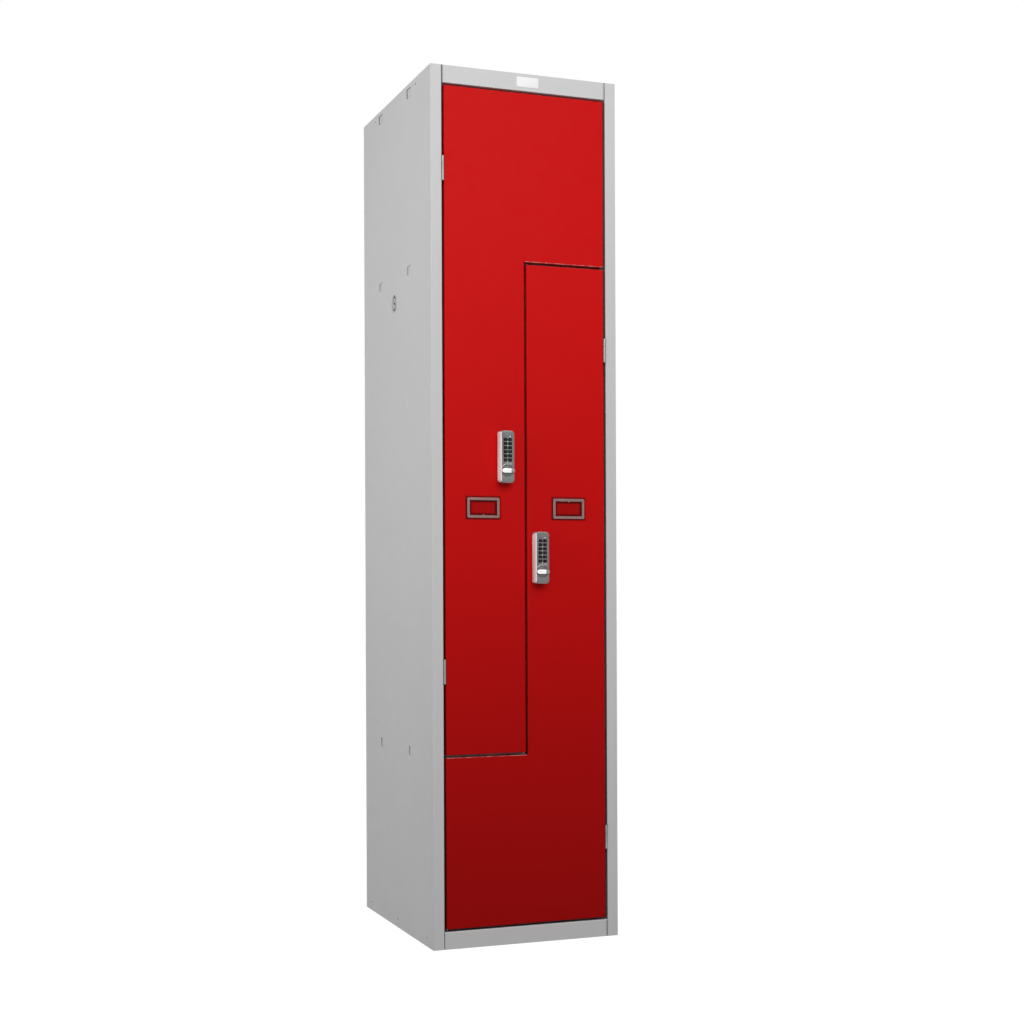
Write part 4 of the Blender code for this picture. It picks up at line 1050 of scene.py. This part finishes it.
class LOCKER_OT_lock_trim(Operator):
    """Lamp lens, turn marks and rear seal of both locks"""
    bl_idname = "locker.lock_trim"
    bl_label = "Lock trim"

    def execute(self, context):
        trim = context.scene.locker_lock
        lens = finished("lamp_lens", moulded_plastic, *LAMP_LENS)
        ink = finished("white_ink", printed_ink, MARK_INK)
        rubber = finished("seal_rubber", moulded_plastic, *SEAL_RUBBER)
        for side in SIDES:
            door = f"{side}_door"
            low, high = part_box(f"lock_housing_{side}")
            face = front_centre(low, high)
            lamp = (face.x + trim.lamp_offset, face.y, high[2] - trim.lamp_drop)
            radii, lifts = dome_profile(trim.lamp_radius, trim.lamp_radius * LAMP_DOME_SHARE)
            points, faces = turned(lamp, FRONT_OUT, radii, lifts)
            add_piece(f"lock_lamp_{side}", points, faces, lens, door)
            self.turn_marks(side, face, trim, ink, door)
            seal_t = FRONT_Y - high[1]
            width = high[0] - low[0] - 2 * trim.seal_inset
            height = high[2] - low[2] - 2 * trim.seal_inset
            centre = (face.x, FRONT_Y, face.z)
            points, faces = rounded_pad(centre, FRONT_OUT, width, height, SEAL_CORNER, seal_t, seal_t / 4)
            add_piece(f"lock_seal_{side}", points, faces, rubber, door)
        return {"FINISHED"}

    def turn_marks(self, side, face, trim, ink, door):
        """An arc on the left that thins out to a point, and a small pointer above the knob."""
        knob = joint_place(f"{side}_knob_turn")
        centre = (knob.x, face.y, knob.z)
        lift = trim.print_height
        width = trim.arc_width
        points, faces = arc_band(
            centre, FRONT_OUT, trim.arc_radius, math.radians(ARC_START_DEG), math.radians(ARC_END_DEG),
            [(share, width * part) for share, part in ARC_WIDTH_SHARES], lift)
        add_piece(f"turn_mark_{side}", points, faces, ink, door, smooth=False)
        half = np.array(POINTER_SHARES) * trim.pointer_width
        up = trim.arc_radius - np.array([POINTER_H, 0.0])
        corners = [
            placed(centre, FRONT_OUT, side_sign * half, up, height)
            for side_sign, height in band_corners(lift)
        ]
        add_piece(
            f"turn_pointer_{side}", np.stack(corners, axis=1), ring_faces(len(half), len(corners)), ink, door,
            smooth=False)


class LOCKER_OT_key_numbers(Operator):
    """Plain numbers printed on the keys, with a dot and a bar on the last two"""
    bl_idname = "locker.key_numbers"
    bl_label = "Key numbers"

    def execute(self, context):
        trim = context.scene.locker_lock
        ink = finished("key_ink", printed_ink, KEY_INK)
        for side in SIDES:
            for number in range(1, KEYS + 1):
                centre = front_centre(*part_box(f"key_{side}_{number:02d}"))
                name = f"key_print_{side}_{number:02d}"
                body = f"{side}_key_{number:02d}"
                if number <= DIGIT_KEYS:
                    self.digit(name, str(number % DIGIT_KEYS), centre, trim, ink, body)
                else:
                    self.symbol(name, number, centre, trim, ink, body)
        return {"FINISHED"}

    def digit(self, name, text, centre, trim, ink, body):
        """A number as a thin mesh, centred on its key's face."""
        curve = bpy.data.curves.new(name, "FONT")
        curve.body = text
        curve.size = trim.digit_height
        curve.extrude = trim.print_height
        curve.resolution_u = 4
        holder = in_scene(f"{name}_text", curve)
        bpy.context.view_layer.update()
        mesh = bpy.data.meshes.new_from_object(holder.evaluated_get(bpy.context.evaluated_depsgraph_get()))
        bpy.data.objects.remove(holder)
        bpy.data.curves.remove(curve)
        points = np.empty(len(mesh.vertices) * 3)
        mesh.vertices.foreach_get("co", points)
        points = points.reshape(-1, 3)
        flat = points - (points.min(axis=0) + points.max(axis=0)) / 2
        faces = [list(polygon.vertices) for polygon in mesh.polygons]
        placed_points = placed(centre, FRONT_OUT, flat[:, 0], flat[:, 1], flat[:, 2])
        bpy.data.meshes.remove(mesh)
        add_piece(name, placed_points, faces, ink, body, smooth=False)

    def symbol(self, name, number, centre, trim, ink, body):
        """A ring for the eleventh key and a bar for the twelfth."""
        lift = trim.print_height
        if number == RING_KEY:
            radius = trim.digit_height * RING_SHARE
            width = radius * RING_LINE_SHARE
            points, faces = arc_band(
                centre, FRONT_OUT, radius, 0.0, math.radians(RING_END_DEG), ((0, width), (1, width)), lift)
        else:
            width, height = trim.digit_height * BAR_W_SHARE, trim.digit_height * BAR_H_SHARE
            corner = height * BAR_CORNER_SHARE
            points, faces = rounded_pad(centre, FRONT_OUT, width, height, corner, lift, lift / 4)
        add_piece(name, points, faces, ink, body, smooth=False)


class LOCKER_OT_lock_backs(Operator):
    """Nut on each spindle and two screws in each back plate, inside the doors"""
    bl_idname = "locker.lock_backs"
    bl_label = "Nuts and screws behind the locks"

    def execute(self, context):
        zinc = finished("zinc_plate", plated_steel, *ZINC)
        for side in SIDES:
            knob = joint_place(f"{side}_knob_turn")
            cam_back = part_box(f"lock_cam_{side}")[1][1]
            spindle_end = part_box(f"lock_knob_{side}")[1][1]
            nut_t = (spindle_end - cam_back) * NUT_T_SHARE
            radii = NUT_RADIUS * np.array((NUT_FACE_SHARE, 1, 1, NUT_FACE_SHARE))
            lifts = nut_t * np.array((0, NUT_CHAMFER_SHARE, 1 - NUT_CHAMFER_SHARE, 1))
            points, faces = turned((knob.x, cam_back, knob.z), BACK_OUT, radii, lifts, NUT_SIDES)
            add_piece(f"cam_nut_{side}", points, faces, zinc, f"{side}_knob")
            plate_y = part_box(f"door_panel_{side}")[0][1] + BACK_PLATE_DEPTH
            for place, sign in (("high", 1), ("low", -1)):
                z = knob.z + sign * SCREW_OFFSET
                radii, lifts = dome_profile(SCREW_RADIUS, SCREW_HEIGHT)
                points, faces = turned((knob.x, plate_y, z), BACK_OUT, radii, lifts)
                add_piece(f"lock_screw_{place}_{side}", points, faces, zinc, f"{side}_door")
        return {"FINISHED"}


class LOCKER_OT_stage(Operator):
    """Pale floor, soft light and the camera at the photograph's angle"""
    bl_idname = "locker.stage"
    bl_label = "Stage"

    def execute(self, context):
        stage = context.scene.locker_stage
        self.camera(context.scene, stage)
        self.world(context.scene, stage)
        self.floor(stage)
        self.lamp("key_lamp", *KEY_LAMP, stage.key_power)
        self.lamp("side_lamp", *SIDE_LAMP, stage.side_power)
        context.scene.view_settings.view_transform = "Standard"
        return {"FINISHED"}

    def camera(self, scene, stage):
        data = bpy.data.cameras.new("photo_camera")
        data.sensor_width = SENSOR_MM
        data.lens = stage.focal_px / stage.photo_px * data.sensor_width
        data.shift_y = (stage.horizon_px - stage.photo_px / 2) / stage.photo_px
        camera = in_scene("photo_camera", data)
        middle_x = (LEFT_X + RIGHT_X) / 2
        place = Matrix.Translation(
            (middle_x - stage.camera_left, FRONT_Y - stage.camera_away, stage.camera_height))
        level = Matrix.Rotation(-stage.yaw, 4, "Z") @ Matrix.Rotation(math.pi / 2, 4, "X")
        camera.matrix_world = place @ level @ Matrix.Rotation(stage.roll, 4, "Z")
        scene.camera = camera

    def world(self, scene, stage):
        """Even pale light, seen as pure white by the camera and in reflections."""
        world = bpy.data.worlds.new("studio_world")
        scene.world = world
        world.use_nodes = True
        nodes, links = world.node_tree.nodes, world.node_tree.links
        nodes.clear()
        even = nodes.new("ShaderNodeBackground")
        even.inputs["Strength"].default_value = stage.world_light
        white = nodes.new("ShaderNodeBackground")
        white.inputs["Color"].default_value = (1, 1, 1, 1)
        white.inputs["Strength"].default_value = 1.0
        seen = self.seen_by(nodes, links, "Is Glossy Ray", "Is Transmission Ray")
        mixed = self.mixed(nodes, links, seen, even, white)
        links.new(mixed, nodes.new("ShaderNodeOutputWorld").inputs["Surface"])

    def seen_by(self, nodes, links, *kinds):
        """1 for the camera's own rays and the named kinds of ray, else 0."""
        path = nodes.new("ShaderNodeLightPath")
        seen = path.outputs["Is Camera Ray"]
        for kind in kinds:
            either = nodes.new("ShaderNodeMath")
            either.operation = "MAXIMUM"
            links.new(seen, either.inputs[0])
            links.new(path.outputs[kind], either.inputs[1])
            seen = either.outputs[0]
        return seen

    def mixed(self, nodes, links, share, first, second):
        """Two shaders mixed by an output or a plain number."""
        mix = nodes.new("ShaderNodeMixShader")
        if hasattr(share, "is_linked"):
            links.new(share, mix.inputs[0])
        else:
            mix.inputs[0].default_value = share
        links.new(first.outputs[0], mix.inputs[1])
        links.new(second.outputs[0], mix.inputs[2])
        return mix.outputs[0]

    def floor(self, stage):
        """A floor that the camera sees nearly white, where the object's shadow still shows."""
        half = stage.floor_size / 2
        mesh = bpy.data.meshes.new("floor")
        corners = [(x * half, y * half, FLOOR_Z) for x, y in ((-1, -1), (1, -1), (1, 1), (-1, 1))]
        mesh.from_pydata(corners, [], [(0, 1, 2, 3)])
        floor = in_scene("floor", mesh)
        material = bpy.data.materials.new("studio_floor")
        material.use_nodes = True
        nodes, links = material.node_tree.nodes, material.node_tree.links
        nodes.clear()
        matte = nodes.new("ShaderNodeBsdfDiffuse")
        matte.inputs["Color"].default_value = (FLOOR_GREY, FLOOR_GREY, FLOOR_GREY, 1)
        shadow = nodes.new("ShaderNodeBsdfDiffuse")
        shadow.inputs["Color"].default_value = (FLOOR_PALE, FLOOR_PALE, FLOOR_PALE, 1)
        glow = nodes.new("ShaderNodeEmission")
        glow.inputs["Strength"].default_value = stage.floor_glow
        seen_floor = self.mixed(nodes, links, stage.floor_share, shadow, glow).node
        mixed = self.mixed(nodes, links, self.seen_by(nodes, links, "Is Glossy Ray"), matte, seen_floor)
        links.new(mixed, nodes.new("ShaderNodeOutputMaterial").inputs["Surface"])
        mesh.materials.append(material)

    def lamp(self, name, place, target, size, power):
        data = bpy.data.lights.new(name, "AREA")
        data.shape = "RECTANGLE"
        data.size, data.size_y = size
        data.energy = power
        lamp = in_scene(name, data)
        lamp.location = place
        lamp.rotation_euler = (Vector(target) - Vector(place)).to_track_quat("-Z", "Y").to_euler()


class LOCKER_PT_sidebar(Panel):
    """Lists the steps in the order in which they run"""
    bl_idname = "LOCKER_PT_sidebar"
    bl_label = "Z locker"
    bl_space_type = "VIEW_3D"
    bl_region_type = "UI"
    bl_category = "Locker"

    def draw(self, context):
        layout = self.layout
        for group_name in GROUPS:
            group = getattr(context.scene, group_name)
            column = layout.column()
            for key in group.__annotations__:
                column.prop(group, key)
        for operator in OPERATORS:
            layout.operator(operator.bl_idname)


GROUPS = {
    "locker_paint": LockerPaint,
    "locker_plate": LockerPlate,
    "locker_rivets": LockerRivets,
    "locker_lock": LockerLockTrim,
    "locker_stage": LockerStage,
}
OPERATORS = (
    LOCKER_OT_paint_body,
    LOCKER_OT_paint_doors,
    LOCKER_OT_finish_fittings,
    LOCKER_OT_rail_plate,
    LOCKER_OT_rivets,
    LOCKER_OT_lock_trim,
    LOCKER_OT_key_numbers,
    LOCKER_OT_lock_backs,
    LOCKER_OT_stage,
)


def register():
    for group in GROUPS.values():
        bpy.utils.register_class(group)
    for name, group in GROUPS.items():
        setattr(bpy.types.Scene, name, PointerProperty(type=group))
    for item in (*OPERATORS, LOCKER_PT_sidebar):
        bpy.utils.register_class(item)


def unregister():
    for item in (LOCKER_PT_sidebar, *reversed(OPERATORS)):
        bpy.utils.unregister_class(item)
    for name, group in reversed(GROUPS.items()):
        delattr(bpy.types.Scene, name)
        bpy.utils.unregister_class(group)


def main():
    register()
    bpy.ops.locker.paint_body()
    bpy.ops.locker.paint_doors()
    bpy.ops.locker.finish_fittings()
    bpy.ops.locker.rail_plate()
    bpy.ops.locker.rivets()
    bpy.ops.locker.lock_trim()
    bpy.ops.locker.key_numbers()
    bpy.ops.locker.lock_backs()
    bpy.ops.locker.stage()


if __name__ == "__main__":
    main()
